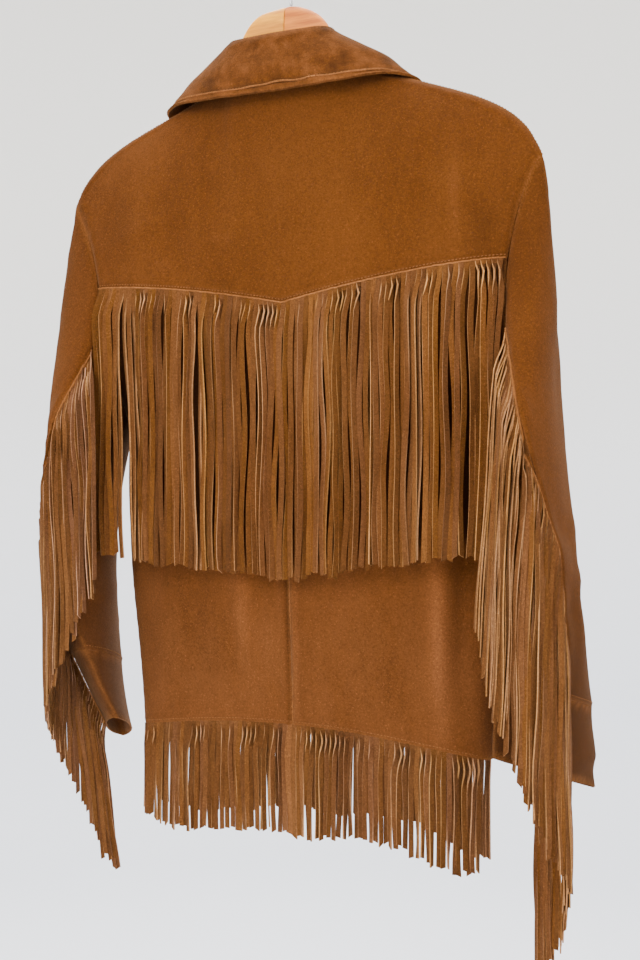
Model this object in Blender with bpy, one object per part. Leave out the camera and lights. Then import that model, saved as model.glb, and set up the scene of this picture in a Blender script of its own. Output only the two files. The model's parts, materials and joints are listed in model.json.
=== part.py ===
"""Fringed buckskin jacket on a wooden hanger, built piece by piece in metres, +Z up.

The origin is the underside of the hanger hook's arch, where a rail carries it. The
wearer's front faces -Y and the wearer's left is +X. Every cloth panel is a grid of
points on the garment's outer face, turned into a thin wall. Panels that meet share
their seam points and the wall's direction there, and stay a seam's gap apart.
"""
import math

import bmesh
import bpy
from mathutils import Vector

# ---- Driving sizes, in metres -------------------------------------------------------
WALL = 0.0016              # suede thickness
COLLAR_WALL = 0.0024       # the collar is two layers
SEAM = 0.0003              # gap between neighbouring pieces
DEEP_VALLEY = 0.45         # past this turn each panel at a seam keeps its own direction
SIDE_POWER = 2.6           # how square the body's section is
VALLEY_THIN = 0.625        # and this share of its thickness
TOP_POWER = 2.5            # how full the back is just below the shoulder line
CHEST_POWER = 1.8          # how full the front is there

SHOULDER_X = 0.2478        # half the width over the sleeve heads
SHOULDER_Z = -0.2400
SHOULDER_Y = 0.0050
RIDGE_Y = 0.0020           # the shoulder line stands over the hanger
NECK_X = 0.0680            # half the width of the neck hole
NECK_Z = -0.1310
NECK_BACK = 0.0280         # how far the neck hole reaches back and forward
NECK_FRONT = 0.0720
NECK_BACK_DROP = 0.0090
NECK_FRONT_DROP = 0.0600
BLADE_BULGE = 0.0080       # fullness over the shoulder blades

YOKE_SIDE_Z = -0.3315      # the yoke seam at the armhole
YOKE_POINT_DROP = 0.0285   # how much lower its point is at the centre back
YOKE_POINT_POWER = 1.6
CHEST_DROP = 0.0300        # the front's first level sags to the centre
HEM_CENTRE_Z = -0.7750
HEM_SIDE_DROP = 0.0220

FRONT_LAP_U = 0.08         # how far each front passes the centre, as a share of the half width
LAP_STEP = WALL + 0.0012   # the under front lies this much deeper
LAP_BLEND_U = 0.20

SLEEVE_HEAD_RINGS = 4      # rings between the armhole and the sleeve's first section

STRAND = 0.0016            # fringe thickness
STRIP_HEIGHT = 0.0070      # the uncut strip along each fringe's root
STRIP_LIFT = 0.0004        # gap between a strip and the panel that it lies on
FALLS_PLAIN = (0.5, 1.0)   # where a strand's cross sections lie, as shares of its length
FALLS_DRAPED = (0.12, 0.35, 0.65, 1.0)
DRAPE_REACH = 0.1000       # the yoke fringe clears what bulges this far below its root
DRAPE_CLEAR = 0.0030       # how clear of the cloth the draped strands hang
YOKE_STRANDS = 44
HEM_STRANDS = 30
FRONT_STRANDS = 14
SLEEVE_STRANDS = 20
YOKE_FRINGE_END = 0.940    # the yoke fringe's end, as a share of the half width
YOKE_FRINGE_LENGTH = 0.276
YOKE_POINT_SHORT = 0.010   # the strands are this much shorter at the centre
YOKE_FRINGE_DRIFT = 0.012  # how far the outermost strands drift in
YOKE_FRINGE_SETTLE = 0.140
HEM_FRINGE_LENGTH = 0.095
SLEEVE_FRINGE_LENGTH = 0.265
CUFF_FRINGE_LENGTH = 0.150
ARMHOLE_FRINGE_LENGTH = 0.225
SLEEVE_STRAND_WIDTH = 0.0034
SLEEVE_FRINGE_FROM = 0.14  # shares of the seam's length where the fringe begins and ends
SLEEVE_FRINGE_TO = 0.96
SLEEVE_STRIP_HEIGHT = 0.0030
SLEEVE_STRIP_LIFT = 0.0008
SLEEVE_RIDGE_Z = -0.4780   # the sleeve's back edge is sharpest here, and the strip clears it
SLEEVE_RIDGE_REACH = 0.020
SLEEVE_RIDGE_LIFT = 0.0014
SLEEVE_TURN_FALL = 0.006   # a sleeve strand turns over within this much of its fall
SLEEVE_HANG_FALL = 0.020   # and hangs straight from here

# Where the left sleeve's strands hang: height of the root, then x and y
SLEEVE_HANG = (
    (-0.3930, 0.1980, 0.0500), (-0.4700, 0.2300, 0.0800), (-0.5200, 0.2620, 0.0700),
    (-0.5800, 0.2780, 0.0480), (-0.6400, 0.2800, 0.0265), (-0.7000, 0.2745, 0.0110),
    (-0.7700, 0.2550, 0.0020), (-0.8100, 0.2405, -0.0140),
)

# Shoulder line from the neck to the sleeve head: x, height
SHOULDER = (
    (0.0680, -0.1310), (0.1000, -0.1435), (0.1310, -0.1560), (0.1720, -0.1710),
    (0.2060, -0.1860), (0.2280, -0.2015), (0.2400, -0.2165), (0.2465, -0.2285),
    (SHOULDER_X, SHOULDER_Z),
)

# Body levels below the yoke: height at the side, back edge x and y, front edge x and y,
# centre back y, centre front y. The edges are the armhole down to the underarm row,
# and the side seam below it.
LEVELS = (
    (YOKE_SIDE_Z, 0.2196, 0.0097, 0.2110, -0.0460, 0.0200, -0.0760),
    (-0.3600, 0.2185, 0.0140, 0.2060, -0.0520, 0.0195, -0.0780),
    (-0.3930, 0.2198, 0.0183, 0.2030, -0.0600, 0.0190, -0.0800),
    (-0.4270, 0.2140, 0.0020, 0.2030, -0.0590, 0.0170, -0.0810),
    (-0.4580, 0.2050, -0.0350, 0.2050, -0.0350, 0.0150, -0.0820),
    (-0.5200, 0.2060, -0.0360, 0.2060, -0.0360, 0.0120, -0.0830),
    (-0.5800, 0.2070, -0.0370, 0.2070, -0.0370, 0.0080, -0.0850),
    (-0.6400, 0.2045, -0.0380, 0.2045, -0.0380, 0.0050, -0.0860),
    (-0.7000, 0.1985, -0.0410, 0.1985, -0.0410, 0.0010, -0.0880),
    (-0.7500, 0.1945, -0.0430, 0.1945, -0.0430, -0.0010, -0.0890),
    (HEM_CENTRE_Z - HEM_SIDE_DROP, 0.1925, -0.0450, 0.1925, -0.0450, -0.0030, -0.0900),
)
UNDERARM_ROW = 4
FRINGE_ROW = 2             # the level where the sleeve's fringed seam leaves the armhole
YOKE_ROWS = 7

# Left sleeve sections: height, centre x and y, turn of the flat from X in degrees, half
# breadth, half thickness, how much the front edge drops, then the angles of the fringed
# seam, of the underarm line and of the plain front seam
SLEEVE = (
    (-0.4700, 0.2362, -0.0075, 94.0, 0.068, 0.029, 0.00, 179.0, 286.0, 362.0),
    (-0.5200, 0.2397, 0.0067, 88.0, 0.065, 0.030, 0.05, 145.0, 235.0, 342.0),
    (-0.5800, 0.2433, 0.0079, 82.0, 0.062, 0.030, 0.10, 112.0, 190.0, 325.0),
    (-0.6400, 0.2445, 0.0015, 77.0, 0.063, 0.030, 0.18, 95.0, 160.0, 325.0),
    (-0.7000, 0.2438, -0.0142, 71.0, 0.066, 0.027, 0.25, 95.0, 155.0, 325.0),
    (-0.7280, 0.2435, -0.0230, 68.0, 0.068, 0.025, 0.30, 101.0, 158.0, 325.0),
    (-0.7700, 0.2430, -0.0390, 64.0, 0.070, 0.020, 0.33, 110.0, 165.0, 325.0),
    (-0.8100, 0.2400, -0.0603, 60.0, 0.072, 0.015, 0.35, 118.0, 170.0, 325.0),
)
CUFF_ROW = 5               # the section where the cuff is sewn on
FRONT_SEAM_STEPS = 6       # armhole points between the underarm and that seam

# Collar sections, from the centre back round to the point: angle, fold x, y, height,
# edge x, y, height
COLLAR = (
    (0.0, 0.0000, 0.0270, -0.0985, 0.0000, 0.0420, -0.1605),
    (30.0, 0.0310, 0.0230, -0.0975, 0.0640, 0.0370, -0.1575),
    (60.0, 0.0520, 0.0130, -0.0945, 0.1130, 0.0190, -0.1515),
    (90.0, 0.0580, -0.0020, -0.0945, 0.1370, -0.0040, -0.1530),
    (115.0, 0.0550, -0.0220, -0.1060, 0.1340, -0.0290, -0.1660),
    (140.0, 0.0430, -0.0460, -0.1340, 0.1130, -0.0580, -0.2050),
    (157.5, 0.0290, -0.0640, -0.1560, 0.0820, -0.0760, -0.2450),
)
NECK_STEP = 22.5           # the neck hole's corners lie this many degrees apart
FOLD_HALF = 0.0040         # half the width of the collar's rolled fold
FOLD_DEPTH = 0.0045

HANGER_HALF_THICK = 0.0055
HANGER_JOINT_X = 0.0050
HANGER_HUMP_RADIUS = 0.0493
HANGER_TOP_Z = -0.0635
HANGER_HUMP_X = 0.0440
HANGER_ARM_X = 0.0640      # from here out the arm follows the shoulder line
HANGER_END_X = 0.2020
HANGER_CLEAR = 0.0032
HANGER_NECK_CLEAR = 0.0040 # extra room by the neck hole
HANGER_Y = -0.0015
HANGER_NECK_DEPTH = 0.0440
HANGER_END_DEPTH = 0.0240
HANGER_PLACES = (0.0, 0.0160, 0.0300, 0.0380, HANGER_HUMP_X, 0.0490, 0.0540, 0.0590,
                 HANGER_ARM_X, 0.0780, 0.1000, 0.1310, 0.1600, 0.1830, 0.1960, HANGER_END_X)
HOOK_FIRST_ANGLE = -60.0
HOOK_LAST_ANGLE = 195.0
HOOK_BEND_Z = -0.0500
HOOK_WIRE = 0.0017         # radius of the steel wire
HOOK_INSIDE = 0.0180       # radius inside the arch

BUTTON_RADIUS = 0.0085
BUTTON_THICK = 0.0028
BUTTON_ROWS = 5
BUTTON_LIFT = 0.0005
BUTTON_FIRST_Z = -0.2770
BUTTON_SPACING = 0.0945


# ---- Small helpers ------------------------------------------------------------------
def lerp(a, b, t):
    return a + (b - a) * t


def between(rows, value, column=0):
    """The row of a table at a value of one column, by straight interpolation."""
    for low, high in zip(rows, rows[1:]):
        first, last = low[column], high[column]
        if min(first, last) <= value <= max(first, last):
            t = (value - first) / (last - first)
            return [lerp(a, b, t) for a, b in zip(low, high)]
    nearest = min((rows[0], rows[-1]), key=lambda row: abs(row[column] - value))
    return list(nearest)


def rounded(u, power):
    """Height of a unit superellipse at u."""
    return max(0.0, 1.0 - abs(u) ** power) ** (1.0 / power)


def smooth(t):
    t = min(1.0, max(0.0, t))
    return t * t * (3.0 - 2.0 * t)


def clean_scene():
    for item in list(bpy.data.objects):
        bpy.data.objects.remove(item)


def material(name, colour, roughness, metallic=0.0):
    made = bpy.data.materials.new(name)
    made.use_nodes = True
    shader = made.node_tree.nodes["Principled BSDF"]
    shader.inputs["Base Color"].default_value = (*colour, 1.0)
    shader.inputs["Roughness"].default_value = roughness
    shader.inputs["Metallic"].default_value = metallic
    return made


def add_node(name, bm, colour, roughness, metallic=0.0, angle=40.0):
    """Turn a closed bmesh into the named object with its own material."""
    if bm.calc_volume(signed=True) < 0:
        bmesh.ops.reverse_faces(bm, faces=bm.faces)
    mesh = bpy.data.meshes.new(name)
    bm.to_mesh(mesh)
    bm.free()
    mesh.materials.append(material(name + "_finish", colour, roughness, metallic))
    mesh.shade_smooth()
    mesh.set_sharp_from_angle(angle=math.radians(angle))
    made = bpy.data.objects.new(name, mesh)
    bpy.context.scene.collection.objects.link(made)
    return made


SUEDE = (0.33, 0.135, 0.045)
SUEDE_DARK = (0.24, 0.10, 0.038)


# ---- Grids and walls ----------------------------------------------------------------
def mirrored(grid):
    """The same panel for the other side of the body, still facing out."""
    return [[Vector((-p.x, p.y, p.z)) for p in reversed(row)] for row in grid]


def place(point):
    return tuple(round(value, 6) for value in point)


def same_either_side(point):
    """A key that a point and its mirror image share."""
    return place(Vector((abs(point.x), point.y, point.z)))


def shared_normals(grids):
    """Outward directions at every point, averaged over all the panels that meet there."""
    sums = {}
    for grid in grids:
        for i in range(len(grid) - 1):
            for j in range(len(grid[0]) - 1):
                corners = (grid[i][j], grid[i][j + 1], grid[i + 1][j + 1], grid[i + 1][j])
                across = corners[2] - corners[0]
                facing = (corners[1] - corners[3]).cross(across).normalized()
                for corner in corners:
                    key = place(corner)
                    sums[key] = sums.get(key, Vector()) + facing
    return {key: total.normalized() for key, total in sums.items()}


def pulled_back(grid):
    """The grid with its border moved half a seam's gap into the panel."""
    last_row, last_column = len(grid) - 1, len(grid[0]) - 1
    result = [[p.copy() for p in row] for row in grid]
    for j in range(last_column + 1):
        for edge, inner in ((0, 1), (last_row, last_row - 1)):
            step = (grid[inner][j] - grid[edge][j]).normalized() * (SEAM / 2)
            result[edge][j] += step
    for i in range(last_row + 1):
        for edge, inner in ((0, 1), (last_column, last_column - 1)):
            step = (grid[i][inner] - grid[i][edge]).normalized() * (SEAM / 2)
            result[i][edge] += step
    return result


def wall(name, grid, normals, colour=SUEDE, thick=WALL):
    """One closed panel: the outer face, the inner face, and a rim all round."""
    outer = pulled_back(grid)
    own = shared_normals([grid])
    rows, columns = len(grid), len(grid[0])
    bm = bmesh.new()
    front = [[bm.verts.new(p) for p in row] for row in outer]
    back = []
    for i in range(rows):
        line = []
        for j in range(columns):
            key = place(grid[i][j])
            deep = normals[key].dot(own[key]) < DEEP_VALLEY
            inward = own[key] * VALLEY_THIN if deep else normals[key]
            line.append(bm.verts.new(outer[i][j] - inward * thick))
        back.append(line)
    for i in range(rows - 1):
        for j in range(columns - 1):
            bm.faces.new((front[i][j], front[i][j + 1], front[i + 1][j + 1], front[i + 1][j]))
            bm.faces.new((back[i][j], back[i + 1][j], back[i + 1][j + 1], back[i][j + 1]))
    border = [(0, j) for j in range(columns)]
    border += [(i, columns - 1) for i in range(1, rows)]
    border += [(rows - 1, j) for j in range(columns - 2, -1, -1)]
    border += [(i, 0) for i in range(rows - 2, 0, -1)]
    for (a, b), (c, d) in zip(border, border[1:] + border[:1]):
        outer_a, outer_c, inner_a, inner_c = front[a][b], front[c][d], back[a][b], back[c][d]
        if same_either_side(grid[a][b]) < same_either_side(grid[c][d]):
            bm.faces.new((outer_c, outer_a, inner_c))
            bm.faces.new((outer_a, inner_a, inner_c))
        else:
            bm.faces.new((outer_c, outer_a, inner_a))
            bm.faces.new((outer_c, inner_a, inner_c))
    return add_node(name, bm, colour, 0.92)


# ---- Body ---------------------------------------------------------------------------
def yoke_line_z(u):
    return YOKE_SIDE_Z - YOKE_POINT_DROP * (1.0 - abs(u)) ** YOKE_POINT_POWER


def chest_line_z(u):
    return YOKE_SIDE_Z - CHEST_DROP * (1.0 - abs(u))


def hem_line_z(u):
    return HEM_CENTRE_Z - HEM_SIDE_DROP * u * u


def top_line(u, reach, drop):
    """A point of the shoulder line, or of the neck hole between its two ends."""
    x = SHOULDER_X * u
    if abs(x) < NECK_X - 1e-6:
        share = math.sqrt(1.0 - (x / NECK_X) ** 2)
        return Vector((x, RIDGE_Y + reach * share, NECK_Z - drop * share))
    height = between(SHOULDER, abs(x))[1]
    outward = (abs(x) - NECK_X) / (SHOULDER_X - NECK_X)
    return Vector((x, lerp(RIDGE_Y, SHOULDER_Y, outward ** 4), height))


def body_point(u, row, facing):
    """A point on the back (facing 1) or the front (facing -1).

    Rows 0 to YOKE_ROWS lie between the shoulder and the yoke's level, and the rest
    follow LEVELS down to the hem.
    """
    back = facing > 0
    level = LEVELS[max(0, row - YOKE_ROWS)]
    edge_x, edge_y = (level[1], level[2]) if back else (level[3], level[4])
    centre_y = level[5] if back else level[6]
    upper_z = yoke_line_z(u) if back else chest_line_z(u)
    flat = rounded(u, SIDE_POWER)
    low = Vector((edge_x * u, lerp(edge_y, centre_y, flat), upper_z))
    if row >= YOKE_ROWS:
        share = (level[0] - YOKE_SIDE_Z) / (LEVELS[-1][0] - YOKE_SIDE_Z)
        low.z = lerp(upper_z, hem_line_z(u), share)
        return low
    reach = NECK_BACK if back else -NECK_FRONT
    top = top_line(u, reach, NECK_BACK_DROP if back else NECK_FRONT_DROP)
    angle = math.radians(90.0 * row / YOKE_ROWS)
    power = TOP_POWER if back else CHEST_POWER
    down = 1.0 - math.cos(angle) ** (2.0 / power)
    out = math.sin(angle) ** (2.0 / power)
    bulge = BLADE_BULGE * math.sin(math.pi * down) * (1.0 - u * u) * facing
    x = lerp(top.x, low.x, down ** 0.6)
    return Vector((x, lerp(top.y, low.y, out) + bulge, lerp(top.z, low.z, down)))


def column_shares():
    """Places across half a panel: the neck hole's first, then out to the side."""
    neck = NECK_X / SHOULDER_X
    inner = [neck * math.sin(math.radians(90.0 * k / 4)) for k in range(4)]
    outer = [neck + (1.0 - neck) * math.sin(math.radians(90.0 * k / 8)) for k in range(9)]
    return inner + outer


HALF = column_shares()
ROWS = YOKE_ROWS + len(LEVELS)


def back_grid(first_row, last_row, shares):
    return [[body_point(u, row, 1) for u in shares] for row in range(first_row, last_row + 1)]


def front_grid(side, lap):
    """One front, from its side edge to just past the centre front."""
    shares = sorted(HALF, reverse=True) + [-FRONT_LAP_U]
    grid = []
    for row in range(ROWS):
        line = []
        for u in shares:
            point = body_point(u, row, -1)
            inward = smooth((LAP_BLEND_U - u) / (LAP_BLEND_U - FRONT_LAP_U))
            point.y += lap * inward
            line.append(point)
        grid.append(line)
    return grid if side > 0 else mirrored(grid)


# ---- Sleeves ------------------------------------------------------------------------
def section_point(section, angle):
    """A point on a sleeve section; 0 is its front edge, 90 its outer face, 180 its back."""
    height, centre_x, centre_y, turn, breadth, thick, drop = section[:7]
    along = Vector((math.cos(math.radians(turn)), -math.sin(math.radians(turn)), 0.0))
    out = Vector((-along.y, along.x, 0.0))
    forward = breadth * math.cos(math.radians(angle))
    point = Vector((centre_x, centre_y, height)) + along * forward
    point += out * thick * math.sin(math.radians(angle))
    point.z -= drop * forward
    return point


def armhole_loop():
    """The left armhole's points and names of its places, from the front seam up over the
    shoulder, down the back, under the arm and up to the front seam again."""
    underarm = YOKE_ROWS + UNDERARM_ROW
    front_start = underarm - FRONT_SEAM_STEPS
    points = [body_point(1.0, row, -1) for row in range(front_start, 0, -1)]
    points += [body_point(1.0, row, 1) for row in range(0, underarm + 1)]
    points += [body_point(1.0, row, -1) for row in range(underarm - 1, front_start - 1, -1)]
    return points


LOOP = armhole_loop()
LOOP_TIP = YOKE_ROWS + UNDERARM_ROW - FRONT_SEAM_STEPS
LOOP_SEAM = LOOP_TIP + YOKE_ROWS + FRINGE_ROW
LOOP_UNDERARM = LOOP_TIP + YOKE_ROWS + UNDERARM_ROW


def ring_angles(section):
    """Angles of one ring, from the front seam over the outer face to the front seam."""
    seam, underarm, front = section[7:10]
    marks = ((0, front - 360.0), (LOOP_SEAM, seam), (LOOP_UNDERARM, underarm),
             (len(LOOP) - 1, front))
    return [between(marks, column)[1] for column in range(len(LOOP))]


def sleeve_rings():
    """All rings of the left sleeve, from the armhole down to the cuff's end."""
    first = [section_point(SLEEVE[0], angle) for angle in ring_angles(SLEEVE[0])]
    rings = []
    for k in range(SLEEVE_HEAD_RINGS):
        t = k / SLEEVE_HEAD_RINGS
        rings.append([a.lerp(b, t) for a, b in zip(LOOP, first)])
    for section in SLEEVE:
        rings.append([section_point(section, angle) for angle in ring_angles(section)])
    return rings


RINGS = sleeve_rings()
CUFF_RING = SLEEVE_HEAD_RINGS + CUFF_ROW


def facing_out(grid):
    """A sleeve grid's columns run from back to front, so that its faces point out."""
    return [list(reversed(row)) for row in grid]


def sleeve_grid(first_ring, last_ring, first_column, last_column):
    rows = RINGS[first_ring:last_ring + 1]
    return facing_out([row[first_column:last_column + 1] for row in rows])


def cuff(name):
    """A closed band whose rings are the sleeve's last ones."""
    rings = [[p.copy() for p in ring[:-1]] for ring in RINGS[CUFF_RING:]]
    count = len(rings[0])
    bm = bmesh.new()
    layers = []
    for depth in (0.0, WALL):
        layer = []
        for i, ring in enumerate(rings):
            line = []
            for j, point in enumerate(ring):
                around = (ring[(j + 1) % count] - ring[j - 1]).normalized()
                near, far = rings[max(0, i - 1)][j], rings[min(len(rings) - 1, i + 1)][j]
                down = (far - near).normalized()
                inward = around.cross(down).normalized()
                start = down * (SEAM / 2) if i == 0 else Vector()
                place_in = point + inward * depth + start
                line.append(bm.verts.new(place_in))
            layer.append(line)
        layers.append(layer)
    outer, inner = layers
    for j in range(count):
        k = (j + 1) % count
        for i in range(len(rings) - 1):
            bm.faces.new((outer[i][j], outer[i][k], outer[i + 1][k], outer[i + 1][j]))
            bm.faces.new((inner[i][j], inner[i + 1][j], inner[i + 1][k], inner[i][k]))
        bm.faces.new((outer[0][j], inner[0][j], inner[0][k], outer[0][k]))
        bm.faces.new((outer[-1][j], outer[-1][k], inner[-1][k], inner[-1][j]))
    bmesh.ops.recalc_face_normals(bm, faces=bm.faces)
    return add_node(name, bm, SUEDE, 0.92)


# ---- Collar -------------------------------------------------------------------------
def neck_corner(angle):
    radians = math.radians(angle)
    share = abs(math.cos(radians))
    reach, drop = NECK_BACK, NECK_BACK_DROP
    if angle > 90.0:
        reach, drop = -NECK_FRONT, NECK_FRONT_DROP
    return Vector((NECK_X * math.sin(radians), RIDGE_Y + reach * share, NECK_Z - drop * share))


def neck_point(angle):
    """A point of the neck seam, whose straight stretches the panels share."""
    low = NECK_STEP * math.floor(angle / NECK_STEP)
    return neck_corner(low).lerp(neck_corner(low + NECK_STEP), (angle - low) / NECK_STEP)


def curved(rows, value):
    """A table's row at a value of its first column, on a smooth curve through the rows."""
    k = 0
    while k < len(rows) - 2 and value > rows[k + 1][0]:
        k += 1
    before, low, high, after = rows[max(0, k - 1)], rows[k], rows[k + 1], rows[min(len(rows) - 1, k + 2)]
    t = (value - low[0]) / (high[0] - low[0])
    result = []
    for a, b, c, d in zip(before, low, high, after):
        slope_low, slope_high = (c - a) / 2.0, (d - b) / 2.0
        result.append((2 * t ** 3 - 3 * t * t + 1) * b + (t ** 3 - 2 * t * t + t) * slope_low
                      + (3 * t * t - 2 * t ** 3) * c + (t ** 3 - t * t) * slope_high)
    return result


def collar_section(angle):
    """The rolled profile at one angle: up the stand, over the fold, down the fall."""
    row = curved(COLLAR, angle)
    fold, edge = Vector(row[1:4]), Vector(row[4:7])
    ahead, behind = curved(COLLAR, min(angle + 4.0, COLLAR[-1][0])), curved(COLLAR, max(angle - 4.0, 0.0))
    out = Vector((behind[2] - ahead[2], ahead[1] - behind[1], 0.0)).normalized()
    foot = neck_point(angle) - out * COLLAR_WALL + Vector((0.0, 0.0, SEAM * 3))
    inner = fold - out * FOLD_HALF - Vector((0.0, 0.0, FOLD_DEPTH))
    outer = fold + out * FOLD_HALF - Vector((0.0, 0.0, FOLD_DEPTH * 0.8))
    fall = outer.lerp(edge, 0.5) + Vector((0.0, 0.0, 0.0030)) + out * 0.0010
    crown = [fold - out * FOLD_HALF * 0.4, fold + out * FOLD_HALF * 0.4]
    return [foot, foot.lerp(inner, 0.5), inner] + crown + [outer, fall, edge]


def collar_grid():
    """Rows from the neck seam over the fold to the edge; columns from right to left."""
    steps = round(COLLAR[-1][0] / NECK_STEP) * 2
    half = [collar_section(NECK_STEP / 2 * k) for k in range(steps + 1)]
    grid = []
    for k in range(len(half[0])):
        left = [section[k] for section in half]
        right = [Vector((-p.x, p.y, p.z)) for p in reversed(left[1:])]
        grid.append(right + left)
    return grid


# ---- Fringe -------------------------------------------------------------------------
def fringe(name, station, strands, share, hang, lift=STRIP_LIFT, height=STRIP_HEIGHT):
    """A strip with strands hanging from its lower edge, as one closed body.

    station(t) gives the root point, the outward direction and the direction of the
    strip's height, at t from 0 to 1. share is a strand's width over its spacing, and
    hang(t, starts) gives a strand's cross sections below the four points it starts from.
    """
    bm = bmesh.new()
    corners = []
    for k in range(strands):
        for edge in (-0.5, 0.5):
            root, out, down = station((k + 0.5 + edge * share) / strands)
            base = root + out * lift
            foot = base + down * height
            around = (base, base + out * STRAND, foot + out * STRAND, foot)
            corners.append([bm.verts.new(point) for point in around])
    for i, (a, b) in enumerate(zip(corners, corners[1:])):
        sides = (0, 1, 3) if i % 2 == 0 else (0, 1, 2, 3)
        for k in sides:
            bm.faces.new((a[k], a[(k + 1) % 4], b[(k + 1) % 4], b[k]))
    bm.faces.new(corners[0])
    bm.faces.new(corners[-1])
    for k in range(strands):
        a, b = corners[2 * k], corners[2 * k + 1]
        previous = [a[2], b[2], b[3], a[3]]
        for points in hang((k + 0.5) / strands, [vert.co.copy() for vert in previous]):
            ring = [bm.verts.new(point) for point in points]
            for m in range(4):
                n = (m + 1) % 4
                bm.faces.new((previous[m], previous[n], ring[n], ring[m]))
            previous = ring
        bm.faces.new(previous)
    bmesh.ops.recalc_face_normals(bm, faces=bm.faces)
    return add_node(name, bm, SUEDE_DARK, 0.95)


def uneven(t, amount):
    """Small differences in length from strand to strand."""
    return amount * math.sin(t * 97.0) * math.cos(t * 41.0)


def body_surface(u, row, facing):
    """body_point between whole rows, for what lies on a panel."""
    low = min(ROWS - 2, int(math.floor(row)))
    return body_point(u, low, facing).lerp(body_point(u, low + 1, facing), row - low)


def even_shares(row, facing, first_u, last_u):
    """Places across a body row at equal distances along the cloth."""
    steps = 120
    shares = [lerp(first_u, last_u, k / steps) for k in range(steps + 1)]
    points = [body_surface(u, row, facing) for u in shares]
    reached = [0.0]
    for a, b in zip(points, points[1:]):
        reached.append(reached[-1] + (b - a).length)
    table = [(distance / reached[-1], u) for distance, u in zip(reached, shares)]
    return lambda t: between(table, t)[1]


def body_station(row, facing, first_u, last_u, hanging, lap=0.0):
    """Stations for a strip on a body row: flat on the panel, or hanging below its edge."""
    share_at = even_shares(row, facing, first_u, last_u)

    def station(t):
        u = share_at(t)
        here = body_surface(u, row, facing)
        turn = 0.004
        beside = body_surface(u + turn, row, facing) - body_surface(u - turn, row, facing)
        down = Vector((0.0, 0.0, -1.0))
        if hanging:
            beside.z = 0.0
            here.z -= SEAM
        else:
            down = (body_surface(u, row + 0.5, facing) - here).normalized()
        out = beside.cross(down).normalized() * (1.0 if facing > 0 else -1.0)
        here.y += lap * smooth((LAP_BLEND_U - abs(u)) / (LAP_BLEND_U - FRONT_LAP_U))
        return here, out * (1.0 if out.y * facing >= 0 else -1.0), down
    return station


def hem_hang(t, starts):
    """Straight down from the hem."""
    length = HEM_FRINGE_LENGTH + uneven(t, 0.003)
    return [[p - Vector((0.0, 0.0, length * fall)) for p in starts] for fall in FALLS_PLAIN]


def yoke_hang(t, starts):
    """The yoke's fringe stands off the back where the back is fuller below, and its
    outer strands drift in, clear of the sleeves."""
    root = sum(starts, Vector()) / 4
    across = 2.0 * t - 1.0
    length = YOKE_FRINGE_LENGTH - YOKE_POINT_SHORT * (1.0 - abs(across)) + uneven(t, 0.005)
    out = 0.0
    for part in range(1, 9):
        height = root.z - DRAPE_REACH * part / 8
        level = between(LEVELS, height)
        if abs(root.x) < level[1]:
            surface = lerp(level[2], level[5], rounded(root.x / level[1], SIDE_POWER))
            out = max(out, surface + DRAPE_CLEAR - root.y)
    rings = []
    for fall in FALLS_DRAPED:
        drift = YOKE_FRINGE_DRIFT * abs(across) ** 4 * smooth(fall * length / YOKE_FRINGE_SETTLE)
        shift = Vector((-math.copysign(drift, across), out, -fall * length))
        rings.append([p + shift for p in starts])
    return rings


def sleeve_station(t):
    """Stations along the left sleeve's fringed seam, on the under sleeve's side."""
    path = [ring[LOOP_SEAM] for ring in RINGS]
    reached = [0.0]
    for a, b in zip(path, path[1:]):
        reached.append(reached[-1] + (b - a).length)
    target = lerp(SLEEVE_FRINGE_FROM, SLEEVE_FRINGE_TO, t) * reached[-1]
    place_in = between([(distance, k) for k, distance in enumerate(reached)], target)[1]
    k = min(len(path) - 2, int(place_in))
    here = path[k].lerp(path[k + 1], place_in - k)
    across = Vector()
    for ring, weight in ((RINGS[k], 1.0 - place_in + k), (RINGS[k + 1], place_in - k)):
        for near, far in ((LOOP_SEAM - 1, LOOP_SEAM), (LOOP_SEAM, LOOP_SEAM + 1)):
            across += (ring[far] - ring[near]).normalized() * weight
    slopes = []
    for m in (k, k + 1):
        slopes.append((path[min(len(path) - 1, m + 1)] - path[max(0, m - 1)]).normalized())
    forward = slopes[0].lerp(slopes[1], place_in - k).normalized()
    out = forward.cross(across).normalized()
    down = out.cross(forward).normalized()
    down *= 1.0 if down.dot(across) > 0 else -1.0
    out *= 1.0 if out.x + out.y > 0 else -1.0
    sharp = max(0.0, 1.0 - abs(here.z - SLEEVE_RIDGE_Z) / SLEEVE_RIDGE_REACH)
    return here + out * SLEEVE_RIDGE_LIFT * sharp, out, down


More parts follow.
